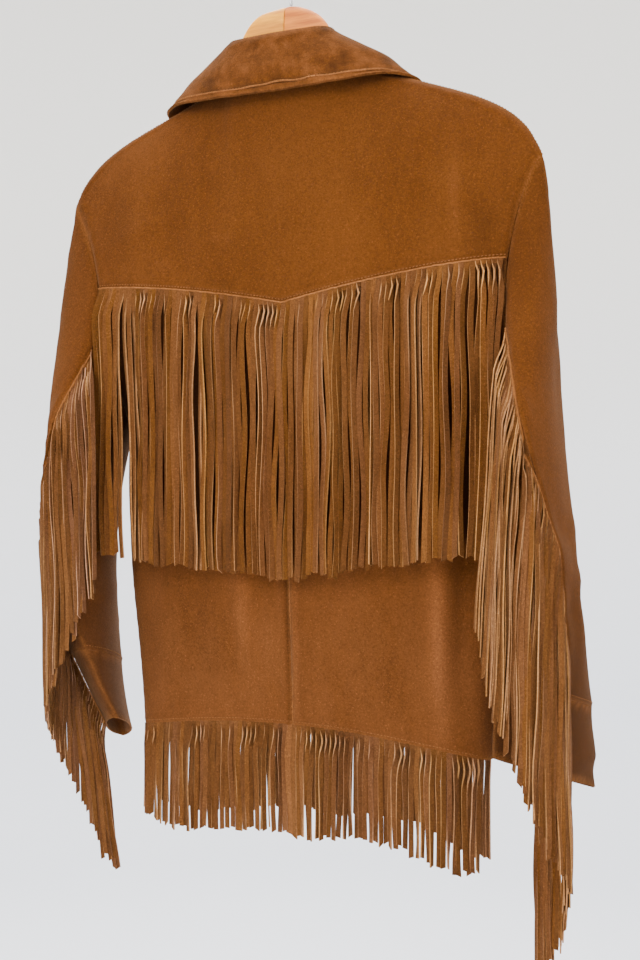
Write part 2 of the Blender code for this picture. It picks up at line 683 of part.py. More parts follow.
def sleeve_hang(t, starts):
    """A sleeve strand turns over at its root and then hangs straight, clear of the sleeve
    and beside its neighbours."""
    shorter = smooth((t - 0.70) / 0.30)
    length = lerp(SLEEVE_FRINGE_LENGTH, CUFF_FRINGE_LENGTH, shorter) + uneven(t, 0.006)
    length -= (SLEEVE_FRINGE_LENGTH - ARMHOLE_FRINGE_LENGTH) * (1.0 - smooth(t / 0.15))
    root = sum(starts, Vector()) / 4
    here = between(SLEEVE_HANG, root.z)
    above, below = between(SLEEVE_HANG, root.z + 0.01), between(SLEEVE_HANG, root.z - 0.01)
    beside = Vector((below[1] - above[1], below[2] - above[2], 0.0)).normalized()
    out = Vector((-beside.y, beside.x, 0.0))
    start_width = (starts[1] - starts[0]).normalized()
    start_out = (starts[0] - starts[3]).normalized()
    rings = []
    for share, fall in ((0.80, SLEEVE_TURN_FALL), (1.0, SLEEVE_HANG_FALL), (1.0, length)):
        centre = root.lerp(Vector((here[1], here[2], root.z)), share)
        centre.z = root.z - fall
        wide = start_width.lerp(beside, share).normalized() * (SLEEVE_STRAND_WIDTH / 2)
        deep = start_out.lerp(out, share).normalized() * (STRAND / 2)
        rings.append([centre - wide + deep, centre + wide + deep, centre + wide - deep,
                      centre - wide - deep])
    return rings


# ---- Hanger and buttons -------------------------------------------------------------
def hanger_outline(x):
    """Top and bottom heights of the wood: a round hump at the neck, then the arms."""
    x = abs(x)
    if x <= HANGER_HUMP_X:
        rise = math.sqrt(HANGER_HUMP_RADIUS ** 2 - x * x)
        top = HANGER_TOP_Z - HANGER_HUMP_RADIUS + rise
    elif x < HANGER_ARM_X:
        foot = hanger_outline(HANGER_HUMP_X)[0]
        t = (x - HANGER_HUMP_X) / (HANGER_ARM_X - HANGER_HUMP_X)
        top = lerp(foot, hanger_outline(HANGER_ARM_X)[0], math.sin(math.radians(90.0 * t)))
    else:
        near_neck = max(0.0, 1.0 - (x - HANGER_ARM_X) / 0.03)
        top = between(SHOULDER, x)[1] - WALL - HANGER_CLEAR - HANGER_NECK_CLEAR * near_neck
    depth = lerp(HANGER_NECK_DEPTH, HANGER_END_DEPTH, min(1.0, x / HANGER_ARM_X))
    return top, top - depth


def hanger_half(name, side, colour):
    """One half of the wood, lofted from the joint at its middle out to the arm's end."""
    bm = bmesh.new()
    start = HANGER_JOINT_X + side * SEAM / 2
    places = [start] + [side * x for x in HANGER_PLACES if side * (side * x - start) > 0]
    rings = []
    for x in places:
        top, bottom = hanger_outline(x)
        closing = smooth((abs(x) - HANGER_END_X + 0.012) / 0.012)
        half_height = (top - bottom) / 2 * lerp(1.0, 0.6, closing)
        half_thick = HANGER_HALF_THICK * lerp(1.0, 0.7, closing)
        middle = (top + bottom) / 2
        ring = []
        for m in range(10):
            angle = math.radians(36.0 * m)
            y = math.copysign(abs(math.sin(angle)) ** 0.7, math.sin(angle)) * half_thick
            z = math.copysign(abs(math.cos(angle)) ** 0.9, math.cos(angle)) * half_height
            ring.append(bm.verts.new((x, HANGER_Y + y, middle + z)))
        rings.append(ring)
    for a, b in zip(rings, rings[1:]):
        for m in range(10):
            n = (m + 1) % 10
            bm.faces.new((a[m], a[n], b[n], b[m]))
    bm.faces.new(rings[0])
    bm.faces.new(rings[-1])
    bmesh.ops.recalc_face_normals(bm, faces=bm.faces)
    return add_node(name, bm, colour, 0.45)


def hook_path():
    """Up the shank, into the round, over the arch and down to the tip."""
    radius = HOOK_INSIDE + HOOK_WIRE
    centre = Vector((0.0, 0.0, -HOOK_INSIDE))
    first = math.radians(HOOK_FIRST_ANGLE)
    join = centre + Vector((math.cos(first), 0.0, math.sin(first))) * radius
    heading = Vector((-math.sin(first), 0.0, math.cos(first)))
    foot = Vector((0.0, HANGER_Y, HANGER_TOP_Z + SEAM))
    bend = Vector((0.0, HANGER_Y, HOOK_BEND_Z))
    points = [foot]
    for k in range(5):
        t = k / 5
        handle_a = bend + Vector((0.0, 0.0, 0.007))
        handle_b = join - heading * 0.008
        point = bend * (1 - t) ** 3 + handle_a * 3 * t * (1 - t) ** 2
        point += handle_b * 3 * t * t * (1 - t) + join * t ** 3
        points.append(point)
    steps = 18
    for k in range(steps + 1):
        angle = math.radians(lerp(HOOK_FIRST_ANGLE, HOOK_LAST_ANGLE, k / steps))
        points.append(centre + Vector((math.cos(angle), 0.0, math.sin(angle))) * radius)
    return points


def tube(name, points, radius, sides, colour, roughness, metallic):
    """A round wire along a path in the XZ plane."""
    bm = bmesh.new()
    rings = []
    for k, point in enumerate(points):
        before, after = points[max(0, k - 1)], points[min(len(points) - 1, k + 1)]
        heading = (after - before).normalized()
        across = Vector((-heading.z, 0.0, heading.x))
        ring = []
        for m in range(sides):
            angle = math.radians(360.0 * m / sides)
            offset = across * math.cos(angle) + Vector((0.0, 1.0, 0.0)) * math.sin(angle)
            ring.append(bm.verts.new(point + offset * radius))
        rings.append(ring)
    for a, b in zip(rings, rings[1:]):
        for m in range(sides):
            n = (m + 1) % sides
            bm.faces.new((a[m], a[n], b[n], b[m]))
    bm.faces.new(rings[0])
    bm.faces.new(rings[-1])
    bmesh.ops.recalc_face_normals(bm, faces=bm.faces)
    return add_node(name, bm, colour, roughness, metallic)


def button(name, height):
    """A plain domed button on the outer front's centre line."""
    levels = [(body_point(0.0, row, -1).z, row) for row in range(ROWS)]
    row = between(levels, height)[1]
    here = body_surface(0.0, row, -1)
    upper_row = min(ROWS - 2, int(math.floor(row)))
    below = body_point(0.0, upper_row + 1, -1) - body_point(0.0, upper_row, -1)
    out = Vector((1.0, 0.0, 0.0)).cross(below).normalized()
    out *= -1.0 if out.y > 0 else 1.0
    beside = out.cross(Vector((0.0, 0.0, 1.0))).normalized()
    upward = beside.cross(out).normalized()
    bm = bmesh.new()
    rings = []
    profile = ((0.9, 0.0), (1.0, 0.35), (1.0, 0.65), (0.86, 1.0), (0.5, 0.8))
    for radius, height in profile:
        ring = []
        for m in range(14):
            angle = math.radians(360.0 * m / 14)
            flat = (beside * math.cos(angle) + upward * math.sin(angle)) * BUTTON_RADIUS * radius
            rise = out * (BUTTON_LIFT + BUTTON_THICK * height)
            ring.append(bm.verts.new(here + flat + rise))
        rings.append(ring)
    for a, b in zip(rings, rings[1:]):
        for m in range(14):
            n = (m + 1) % 14
            bm.faces.new((a[m], a[n], b[n], b[m]))
    bm.faces.new(rings[0])
    bm.faces.new(rings[-1])
    bmesh.ops.recalc_face_normals(bm, faces=bm.faces)
    return add_node(name, bm, (0.10, 0.055, 0.03), 0.35)


def mirror_node(source, name):
    """The same piece for the other side, in its own mesh."""
    bm = bmesh.new()
    bm.from_mesh(source.data)
    for vert in bm.verts:
        vert.co.x = -vert.co.x
    bmesh.ops.reverse_faces(bm, faces=bm.faces)
    finish = source.data.materials[0].node_tree.nodes["Principled BSDF"]
    colour = tuple(finish.inputs["Base Color"].default_value)[:3]
    return add_node(name, bm, colour, finish.inputs["Roughness"].default_value)


# ---- Assembly -----------------------------------------------------------------------
def build_body():
    left = HALF
    right = [-u for u in reversed(HALF)]
    across = right[:-1] + left
    grids = {
        "back_yoke": back_grid(0, YOKE_ROWS, across),
        "back_lower_left": back_grid(YOKE_ROWS, ROWS - 1, left),
        "back_lower_right": back_grid(YOKE_ROWS, ROWS - 1, right),
        "front_left": front_grid(1, 0.0),
        "front_right": front_grid(-1, LAP_STEP),
    }
    sleeve = {
        "top_sleeve_left": sleeve_grid(0, CUFF_RING, 0, LOOP_SEAM),
        "under_sleeve_left": sleeve_grid(0, CUFF_RING, LOOP_SEAM, len(LOOP) - 1),
    }
    mirrored_sleeve = [mirrored(grid) for grid in sleeve.values()]
    everything = list(grids.values()) + list(sleeve.values()) + mirrored_sleeve
    normals = shared_normals(everything)
    for name, grid in grids.items():
        wall(name, grid, normals)
    for name, grid in sleeve.items():
        made = wall(name, grid, normals)
        mirror_node(made, name.replace("left", "right"))


def build_trim():
    grid = collar_grid()
    wall("collar", grid, shared_normals([grid]), SUEDE, COLLAR_WALL)
    made = cuff("cuff_left")
    mirror_node(made, "cuff_right")
    for k in range(BUTTON_ROWS):
        button("button_%d" % (k + 1), BUTTON_FIRST_Z - k * BUTTON_SPACING)


def build_fringe():
    hem = ROWS - 1
    side_end, lap_end, under_end = 0.955, -0.065, -0.095
    yoke = body_station(YOKE_ROWS + 0.02, 1, -YOKE_FRINGE_END, YOKE_FRINGE_END, False)
    fringe("yoke_fringe", yoke, YOKE_STRANDS, 0.55, yoke_hang)
    back = body_station(hem, 1, -side_end, side_end, True)
    fringe("hem_fringe_back", back, HEM_STRANDS, 0.6, hem_hang, -WALL)
    left = body_station(hem, -1, side_end, lap_end, True)
    fringe("hem_fringe_front_left", left, FRONT_STRANDS, 0.6, hem_hang, -WALL)
    right = body_station(hem, -1, -side_end, under_end, True, LAP_STEP)
    fringe("hem_fringe_front_right", right, FRONT_STRANDS, 0.6, hem_hang, -WALL)
    made = fringe("sleeve_fringe_left", sleeve_station, SLEEVE_STRANDS, 0.3, sleeve_hang,
                  SLEEVE_STRIP_LIFT, SLEEVE_STRIP_HEIGHT)
    mirror_node(made, "sleeve_fringe_right")


def build_hanger():
    hanger_half("hanger_left", 1, (0.62, 0.42, 0.24))
    hanger_half("hanger_right", -1, (0.55, 0.36, 0.19))
    tube("hanger_hook", hook_path(), HOOK_WIRE, 8, (0.62, 0.62, 0.64), 0.25, 1.0)


clean_scene()
build_body()
build_trim()
build_fringe()
build_hanger()
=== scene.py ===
# %% [markdown]
# # A fringed suede jacket on its wooden hanger
#
# A buckskin jacket is cut from thick suede: a back yoke with a pointed seam, two lower
# back panels, two fronts, two-piece sleeves, cuffs and a turned-down collar. Long fringe
# is sewn into the yoke seam, under the hem and down the back of each sleeve. The packed
# solids give every panel its place and its form. This lesson dresses them: smoother
# shells with soft creases, strands cut one by one, stitches, and finishes for the suede,
# wood, steel and horn.

import contextlib
import json
import math

import bpy
import numpy as np
from mathutils import Matrix, Vector, noise
from mathutils.bvhtree import BVHTree
from mathutils.kdtree import KDTree

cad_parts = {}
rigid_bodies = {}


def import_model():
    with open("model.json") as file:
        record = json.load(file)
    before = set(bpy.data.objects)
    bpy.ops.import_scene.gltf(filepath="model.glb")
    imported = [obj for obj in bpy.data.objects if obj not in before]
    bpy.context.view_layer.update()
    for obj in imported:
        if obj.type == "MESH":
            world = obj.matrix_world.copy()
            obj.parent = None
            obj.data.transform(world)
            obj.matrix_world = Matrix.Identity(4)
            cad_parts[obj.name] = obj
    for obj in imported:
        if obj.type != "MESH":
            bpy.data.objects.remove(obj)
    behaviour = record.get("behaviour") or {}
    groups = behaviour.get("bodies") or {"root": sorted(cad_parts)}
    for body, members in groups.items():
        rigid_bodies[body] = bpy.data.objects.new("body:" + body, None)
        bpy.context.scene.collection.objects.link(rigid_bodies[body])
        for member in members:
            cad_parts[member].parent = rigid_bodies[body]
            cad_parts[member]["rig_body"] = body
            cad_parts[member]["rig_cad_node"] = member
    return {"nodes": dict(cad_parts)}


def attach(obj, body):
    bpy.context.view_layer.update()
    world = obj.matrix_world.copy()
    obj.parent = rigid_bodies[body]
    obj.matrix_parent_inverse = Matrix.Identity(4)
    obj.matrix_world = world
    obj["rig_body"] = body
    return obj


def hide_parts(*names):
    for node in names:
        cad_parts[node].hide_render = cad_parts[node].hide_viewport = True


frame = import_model()
bpy.ops.object.select_all(action="DESELECT")
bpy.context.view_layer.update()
print("packed nodes:", len(frame["nodes"]))

# %% [markdown]
# ## Camera
#
# The jacket is seen from the back, level with its lower yoke and a little from its right.
# The camera stands on a circle round the hook, and the shift slides the picture so that
# the jacket sits in it as framed.

# %% Set the camera
EYE_HEIGHT = -0.52
STAND_OFF = 1.15
BEARING = math.radians(205.0)
FRAME_PIXELS, FOCAL_PIXELS = 960, 1165
camera_place = (math.sin(BEARING) * STAND_OFF, -math.cos(BEARING) * STAND_OFF, EYE_HEIGHT)
bpy.ops.object.camera_add(location=camera_place, rotation=(math.radians(90), 0, BEARING))
camera = bpy.context.object
camera.data.lens = FOCAL_PIXELS / FRAME_PIXELS * camera.data.sensor_width
camera.data.shift_x, camera.data.shift_y = 29.4 / FRAME_PIXELS, -12.0 / FRAME_PIXELS
bpy.context.scene.camera = camera
sight = Vector((-math.sin(BEARING), math.cos(BEARING), 0.0))
rightward = Vector((math.cos(BEARING), math.sin(BEARING), 0.0))
print("camera stands at", [round(v, 3) for v in camera_place])

# %% [markdown]
# ## Small helpers
#
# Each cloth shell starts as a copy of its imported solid. The copy's loose triangles are
# merged and paired into quads, its cut edges are creased so that they stay crisp, and a
# Subdivision Surface then rounds what a real hide would round.

# %% Helpers for shapes
rng = np.random.default_rng(41)


def only(piece):
    """Select one object and make it active, as a click would."""
    bpy.ops.object.select_all(action="DESELECT")
    piece.select_set(True)
    bpy.context.view_layer.objects.active = piece
    return piece


def apply_all(piece):
    only(piece)
    for modifier in list(piece.modifiers):
        bpy.ops.object.modifier_apply(modifier=modifier.name)


@contextlib.contextmanager
def editing(piece, picked=None, kind="VERT"):
    """Edit mode on one piece, with all of it selected, or only some points or faces."""
    only(piece)
    bpy.ops.object.mode_set(mode="EDIT")
    bpy.ops.mesh.select_mode(type=kind)
    bpy.ops.mesh.select_all(action="SELECT" if picked is None else "DESELECT")
    if picked is not None:
        bpy.ops.object.mode_set(mode="OBJECT")
        parts = piece.data.vertices if kind == "VERT" else piece.data.polygons
        parts.foreach_set("select", picked)
        bpy.ops.object.mode_set(mode="EDIT")
    yield
    bpy.ops.object.mode_set(mode="OBJECT")


def take_over(node, name):
    """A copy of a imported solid, merged into one quad mesh."""
    only(frame["nodes"][node])
    bpy.ops.object.duplicate()
    piece = bpy.context.object
    piece.name = piece.data.name = name
    piece.parent = None
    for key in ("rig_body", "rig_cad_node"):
        del piece[key]
    piece.data.materials.clear()
    bpy.ops.mesh.customdata_custom_splitnormals_clear()
    with editing(piece):
        bpy.ops.mesh.remove_doubles(threshold=0.00002)
        bpy.ops.mesh.tris_convert_to_quads(face_threshold=math.radians(60),
                                           shape_threshold=math.radians(60))
    return piece


def crease_edges(piece, turn, amount):
    """Crease every edge that turns more sharply than an angle, and return their points."""
    mesh = piece.data
    faces_at = {}
    for face in mesh.polygons:
        for key in face.edge_keys:
            faces_at.setdefault(key, []).append(face.normal)
    if "crease_edge" not in mesh.attributes:
        mesh.attributes.new("crease_edge", "FLOAT", "EDGE")
    values = mesh.attributes["crease_edge"].data
    along = []
    for edge in mesh.edges:
        pair = faces_at.get(edge.key, [])
        if len(pair) == 2 and pair[0].angle(pair[1], 0.0) > math.radians(turn):
            values[edge.index].value = amount
            a, b = (mesh.vertices[k].co for k in edge.vertices)
            steps = max(1, int((b - a).length / 0.003))
            along += [a.lerp(b, k / steps) for k in range(steps + 1)]
    return along


def subdivide(piece, levels):
    modifier = piece.modifiers.new("rounding", "SUBSURF")
    modifier.levels = modifier.render_levels = levels
    apply_all(piece)


def points_of(piece):
    found = np.empty(len(piece.data.vertices) * 3)
    piece.data.vertices.foreach_get("co", found)
    return found.reshape(-1, 3)


def set_points(piece, moved):
    piece.data.vertices.foreach_set("co", moved.astype(np.float32).ravel())
    piece.data.update()


def read(table, at, *columns):
    """Read columns of a table at places along its first column, whichever way it runs."""
    rows = table[np.argsort(table[:, 0])]
    found = [np.interp(at, rows[:, 0], rows[:, k]) for k in columns or (1,)]
    return found if columns else found[0]


def smooth(t):
    t = np.clip(t, 0.0, 1.0)
    return t * t * (3.0 - 2.0 * t)


def build(name, points, faces, finishes, face_finish=None):
    """An object from arrays, for what is repeated many times."""
    mesh = bpy.data.meshes.new(name)
    mesh.from_pydata([tuple(p) for p in points], [], [tuple(f) for f in faces])
    for finish in finishes:
        mesh.materials.append(finish)
    if face_finish is not None:
        mesh.polygons.foreach_set("material_index", np.asarray(face_finish, dtype=np.int32))
    mesh.update()
    piece = bpy.data.objects.new(name, mesh)
    bpy.context.scene.collection.objects.link(piece)
    with editing(piece):
        bpy.ops.mesh.normals_make_consistent(inside=False)
    return piece


def declare(piece, angle, node=None):
    """Shade a finished piece smooth up to an angle, hide the packed solid it stands for, and fix it
    to the root body.
    """
    only(piece)
    bpy.ops.object.shade_smooth_by_angle(angle=math.radians(angle))
    if node:
        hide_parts(node)
    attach(piece, "root")
    return piece


def tube_faces(first, rings, sides):
    """Quads between rings of points that follow each other in one list."""
    return [(at + m, at + (m + 1) % sides, at + (m + 1) % sides + sides, at + m + sides)
            for at in range(first, first + (rings - 1) * sides, sides) for m in range(sides)]


def unit(rows):
    return rows / np.maximum(np.linalg.norm(rows, axis=-1, keepdims=True), 1e-9)


# %% [markdown]
# ## Finishes
#
# Suede is the flesh side of a hide, brushed to a nap. Its colour is never even: broad
# patches where the nap lies the other way, a mottle as fine as a thumbprint, and pale
# flecks. One node group makes these masks and a height for the nap, and every suede
# finish uses it with its own colours. Sheen gives the soft light edge that a nap has.

# %% Helpers for finishes
def put(tree, kind, inputs=None, **settings):
    """Add a node, give its settings, and link or fill its inputs."""
    made = tree.nodes.new(kind)
    for key, value in settings.items():
        setattr(made, key, value)
    for key, value in (inputs or {}).items():
        if isinstance(value, bpy.types.NodeSocket):
            tree.links.new(value, made.inputs[key])
        else:
            made.inputs[key].default_value = value
    return made


def ranged(tree, value, low, high):
    """Stretch a band of a mask to the whole of 0 to 1."""
    made = put(tree, "ShaderNodeMapRange", {0: value, 1: low, 2: high, 3: 0.0, 4: 1.0})
    return made.outputs[0]


def times(tree, a, b):
    return put(tree, "ShaderNodeMath", {0: a, 1: b}, operation="MULTIPLY").outputs[0]


def mixed(tree, amount, first, second, kind="MIX"):
    made = put(tree, "ShaderNodeMix", {0: amount, 6: first, 7: second}, data_type="RGBA",
               blend_type=kind)
    return made.outputs[2]


def rgb(red, green, blue):
    """A colour as a picture editor gives it, turned into Blender's linear values."""
    def linear(value):
        value /= 255.0
        return value / 12.92 if value <= 0.04045 else ((value + 0.055) / 1.055) ** 2.4
    return (linear(red), linear(green), linear(blue), 1.0)


def cloudy(tree, place, scale, detail, roughness=0.5, distortion=0.0):
    """A noise texture's value."""
    return put(tree, "ShaderNodeTexNoise", {
        "Vector": place, "Scale": scale, "Detail": detail, "Roughness": roughness,
        "Distortion": distortion}).outputs[0]


def stretched(tree, place, scale, lean=0.0):
    return put(tree, "ShaderNodeMapping", {"Vector": place, "Rotation": (0.0, lean, 0.0),
                                           "Scale": scale}).outputs[0]


def new_finish(name, roughness, specular, metallic=0.0, coat=0.0):
    """A material with its tree, its shader and each point's place on the object."""
    finish = bpy.data.materials.new(name)
    finish.use_nodes = True
    tree = finish.node_tree
    shader = tree.nodes["Principled BSDF"]
    for key, value in (("Roughness", roughness), ("Specular IOR Level", specular),
                       ("Metallic", metallic), ("Coat Weight", coat)):
        shader.inputs[key].default_value = value
    return finish, tree, shader, put(tree, "ShaderNodeTexCoord").outputs["Object"]


def set_roughness(tree, shader, value, low, high):
    rough = put(tree, "ShaderNodeMapRange", {0: value, 3: low, 4: high})
    tree.links.new(rough.outputs[0], shader.inputs["Roughness"])


def set_bump(tree, shader, height, strength, distance):
    raised = put(tree, "ShaderNodeBump", {"Strength": strength, "Distance": distance,
                                          "Height": height})
    tree.links.new(raised.outputs[0], shader.inputs["Normal"])


# %% The nap's node group
def nap_group():
    group = bpy.data.node_groups.new("suede_nap", "ShaderNodeTree")
    face = group.interface
    face.new_socket("Place", in_out="INPUT", socket_type="NodeSocketVector")
    for name in ("Patches", "Mottle", "Grain", "Flecks", "Height"):
        face.new_socket(name, in_out="OUTPUT", socket_type="NodeSocketFloat")
    inside = put(group, "NodeGroupInput")
    place = inside.outputs["Place"]
    stroke = stretched(group, place, (1.0, 1.0, 0.45))
    grain = cloudy(group, place, 480.0, 4.0, 0.8)
    pile = put(group, "ShaderNodeMath", {0: cloudy(group, place, 900.0, 3.0, 0.75), 1: grain},
               operation="ADD")
    made = put(group, "NodeGroupOutput")
    for name, value, low, high in (
            ("Patches", cloudy(group, stroke, 11.0, 4.0, 0.62), 0.36, 0.64),
            ("Mottle", cloudy(group, stroke, 130.0, 6.0, 0.74), 0.30, 0.70),
            ("Grain", grain, 0.30, 0.70),
            ("Flecks", cloudy(group, place, 640.0, 2.0, 0.6), 0.60, 0.72)):
        group.links.new(ranged(group, value, low, high), made.inputs[name])
    group.links.new(pile.outputs[0], made.inputs["Height"])
    return group


NAP = nap_group()


def suede(name, dark, middle, light, tone_attribute=None, edge_attribute=None,
          edge_colour=None, fleck=0.35, bump=0.5, grain=0.30):
    """A suede finish: colours mixed by patches, mottle and grain, with pale flecks."""
    finish, tree, shader, place = new_finish(name, 0.97, 0.06)
    for key, value in (("Sheen Weight", 0.07), ("Sheen Tint", (1.0, 0.66, 0.36, 1.0)),
                       ("Sheen Roughness", 0.45)):
        shader.inputs[key].default_value = value
    nap = put(tree, "ShaderNodeGroup", node_tree=NAP)
    tree.links.new(place, nap.inputs["Place"])
    colour = mixed(tree, nap.outputs["Mottle"], dark, middle)
    colour = mixed(tree, times(tree, nap.outputs["Patches"], 0.60), colour, light)
    pile = mixed(tree, nap.outputs["Grain"], (1.0 - grain,) * 3 + (1.0,),
                 (1.0 + grain,) * 3 + (1.0,))
    colour = mixed(tree, 1.0, colour, pile, "MULTIPLY")
    colour = mixed(tree, times(tree, nap.outputs["Flecks"], fleck), colour,
                   tuple(min(1.0, 1.7 * c) for c in light[:3]) + (1.0,))
    # On the shells the stored tone holds the hide's own tone together with painted highlights and
    # painted shade.
    if tone_attribute:
        tone = put(tree, "ShaderNodeAttribute", attribute_name=tone_attribute)
        colour = mixed(tree, 1.0, colour, tone.outputs["Color"], "MULTIPLY")
    if edge_attribute:
        worn = put(tree, "ShaderNodeAttribute", attribute_name=edge_attribute)
        amount = times(tree, worn.outputs["Fac"], nap.outputs["Grain"])
        colour = mixed(tree, amount, colour, edge_colour)
    tree.links.new(colour, shader.inputs["Base Color"])
    set_bump(tree, shader, nap.outputs["Height"], bump, 0.0010)
    return finish


SUEDE = suede("tan_suede", rgb(72, 38, 11), rgb(83, 44, 13), rgb(96, 54, 21),
              tone_attribute="nap_and_painted_light_tone", edge_attribute="seam_wear",
              edge_colour=rgb(124, 76, 36), fleck=0.55)
STRAND_FACE = suede("fringe_suede", rgb(76, 44, 17), rgb(92, 55, 26), rgb(108, 69, 36),
                    tone_attribute="strand_tone", fleck=0.5, grain=0.38)
CUT_EDGE = suede("cut_edge_suede", rgb(128, 84, 44), rgb(153, 106, 62), rgb(178, 130, 84),
                 tone_attribute="strand_tone", fleck=0.5, bump=0.2)
SEAM_EDGE = suede("seam_edge_suede", rgb(104, 60, 24), rgb(128, 78, 38), rgb(150, 98, 56),
                  fleck=0.5, bump=0.2)
THREAD = suede("tan_thread", rgb(98, 58, 25), rgb(118, 73, 37), rgb(136, 90, 51),
               fleck=0.3, bump=0.1)
print("suede finishes made")

# %% [markdown]
# ## Cloth panels
#
# Every panel becomes a thin shell on its solid's form. Its main creases are pressed in one by
# one: each row of a fold table gives a path over the panel, how broad the fold is and
# how far it rises or sinks. The paths are flat coordinates: across and up on the body,
# and round and up on a sleeve.

# %% Ways out of the body and the sleeves
SLEEVE_AXIS = np.array([   # height, centre x and y, turn of the flat, breadth, thickness
    (-0.30, 0.2290, -0.0180, 94.0, 0.060, 0.020), (-0.4700, 0.2362, -0.0075, 94.0, 0.068, 0.029),
    (-0.5200, 0.2397, 0.0067, 88.0, 0.065, 0.030), (-0.5800, 0.2433, 0.0079, 82.0, 0.062, 0.030),
    (-0.6400, 0.2445, 0.0015, 77.0, 0.063, 0.030), (-0.7000, 0.2438, -0.0142, 71.0, 0.066, 0.027),
    (-0.7700, 0.2430, -0.0390, 64.0, 0.070, 0.020), (-0.8100, 0.2400, -0.0603, 60.0, 0.072, 0.015)])
AROUND = 0.0009            # metres of cloth for each degree round a sleeve


def body_out(at):
    """Directions straight out of the body's rounded section."""
    across, deep = at[:, 0] / 0.205, (at[:, 1] + 0.035) / 0.052
    return unit(np.stack([np.sign(across) * np.abs(across) ** 3 / 0.205,
                          np.sign(deep) * np.abs(deep) ** 1.2 / 0.052,
                          np.zeros(len(at))], axis=1))


def sleeve_frame(at):
    """For points on either sleeve: distances along and out of its flat, and directions."""
    cx, cy, turn, breadth, thick = read(SLEEVE_AXIS, at[:, 2], 1, 2, 3, 4, 5)
    side = np.sign(at[:, 0])
    turn = np.radians(turn)
    along = np.stack([side * np.cos(turn), -np.sin(turn)], axis=1)
    out = np.stack([side * np.sin(turn), np.cos(turn)], axis=1)
    offset = np.stack([at[:, 0] - side * cx, at[:, 1] - cy], axis=1)
    return (offset * along).sum(1) / breadth, (offset * out).sum(1) / thick, along, out


def sleeve_out(at):
    forward, outward, along, out = sleeve_frame(at)
    flat = along * forward[:, None] / 0.065 + out * outward[:, None] / 0.028
    return unit(np.column_stack([flat, np.zeros(len(at))]))


def body_flat(at):
    return at[:, [0, 2]]


def sleeve_flat(at):
    forward, outward, _, _ = sleeve_frame(at)
    degrees = np.degrees(np.arctan2(outward, forward)) % 360.0
    return np.stack([degrees * AROUND, at[:, 2]], axis=1)


def press(piece, folds, flat_of, out_of):
    """Raise and sink soft folds: each has a path, a breadth and a depth."""
    at = points_of(piece)
    flat, out = flat_of(at), out_of(at)
    lift = np.zeros(len(at))
    for path, breadth, depth in folds:
        path = np.array(path)
        lengths = np.linalg.norm(np.diff(path, axis=0), axis=1)
        nearest, share, run = np.full(len(at), 9.0), np.zeros(len(at)), 0.0
        for start, end, length in zip(path, path[1:], lengths):
            t = np.clip(((flat - start) @ (end - start)) / length ** 2, 0.0, 1.0)
            away = np.linalg.norm(flat - start - t[:, None] * (end - start), axis=1)
            closer = away < nearest
            nearest[closer] = away[closer]
            share[closer] = ((run + t * length) / lengths.sum())[closer]
            run += length
        fade = smooth(share / 0.3) * smooth((1.0 - share) / 0.3)
        lift += depth * np.exp(-(nearest / breadth) ** 2) * (0.25 + 0.75 * fade)
    set_points(piece, at + out * lift[:, None])
    return float(np.abs(lift).max())


# %% Fold tables
BACK_FOLDS = [   # path (across, up), breadth, rise
    ([(0.150, -0.230), (0.120, -0.300), (0.105, -0.350)], 0.016, -0.0018),
    ([(-0.160, -0.200), (-0.140, -0.270), (-0.128, -0.330)], 0.015, -0.0018),
    ([(0.200, -0.290), (0.160, -0.275), (0.110, -0.262)], 0.012, 0.0016),
    ([(-0.205, -0.285), (-0.165, -0.262), (-0.120, -0.250)], 0.012, 0.0015),
    ([(0.030, -0.180), (0.024, -0.250), (0.020, -0.330)], 0.022, -0.0012),
    ([(-0.150, -0.560), (-0.149, -0.660), (-0.143, -0.760)], 0.014, 0.0042),
    ([(-0.176, -0.560), (-0.172, -0.660), (-0.168, -0.770)], 0.010, -0.0030),
    ([(-0.060, -0.600), (-0.064, -0.690), (-0.060, -0.765)], 0.020, -0.0022),
    ([(0.070, -0.600), (0.066, -0.690), (0.071, -0.765)], 0.024, -0.0020),
    ([(0.150, -0.560), (0.146, -0.650), (0.150, -0.765)], 0.018, 0.0024),
    ([(-0.004, -0.500), (-0.005, -0.660), (-0.006, -0.790)], 0.0040, 0.0030),
    ([(0.004, -0.500), (0.003, -0.660), (0.001, -0.790)], 0.0030, -0.0018),
    ([(0.058, -0.540), (0.054, -0.650), (0.047, -0.740)], 0.014, 0.0042),
    ([(0.115, -0.560), (0.105, -0.650), (0.100, -0.740)], 0.016, -0.0022),
    ([(0.185, -0.430), (0.150, -0.470), (0.120, -0.530)], 0.014, -0.0022),
    ([(-0.190, -0.430), (-0.155, -0.480), (-0.130, -0.540)], 0.014, -0.0022)]
FRONT_FOLDS = [
    ([(0.150, -0.240), (0.120, -0.330), (0.110, -0.420)], 0.017, -0.0033),
    ([(-0.152, -0.240), (-0.118, -0.340), (-0.114, -0.430)], 0.016, -0.0030),
    ([(0.190, -0.420), (0.140, -0.450), (0.090, -0.500)], 0.014, 0.0036),
    ([(-0.190, -0.425), (-0.150, -0.455), (-0.095, -0.490)], 0.014, 0.0033),
    ([(0.120, -0.560), (0.117, -0.660), (0.124, -0.770)], 0.018, 0.0045),
    ([(-0.126, -0.540), (-0.120, -0.660), (-0.118, -0.770)], 0.019, 0.0042),
    ([(0.060, -0.590), (0.064, -0.690), (0.060, -0.770)], 0.018, -0.0033),
    ([(-0.062, -0.600), (-0.058, -0.690), (-0.064, -0.770)], 0.016, -0.0036)]
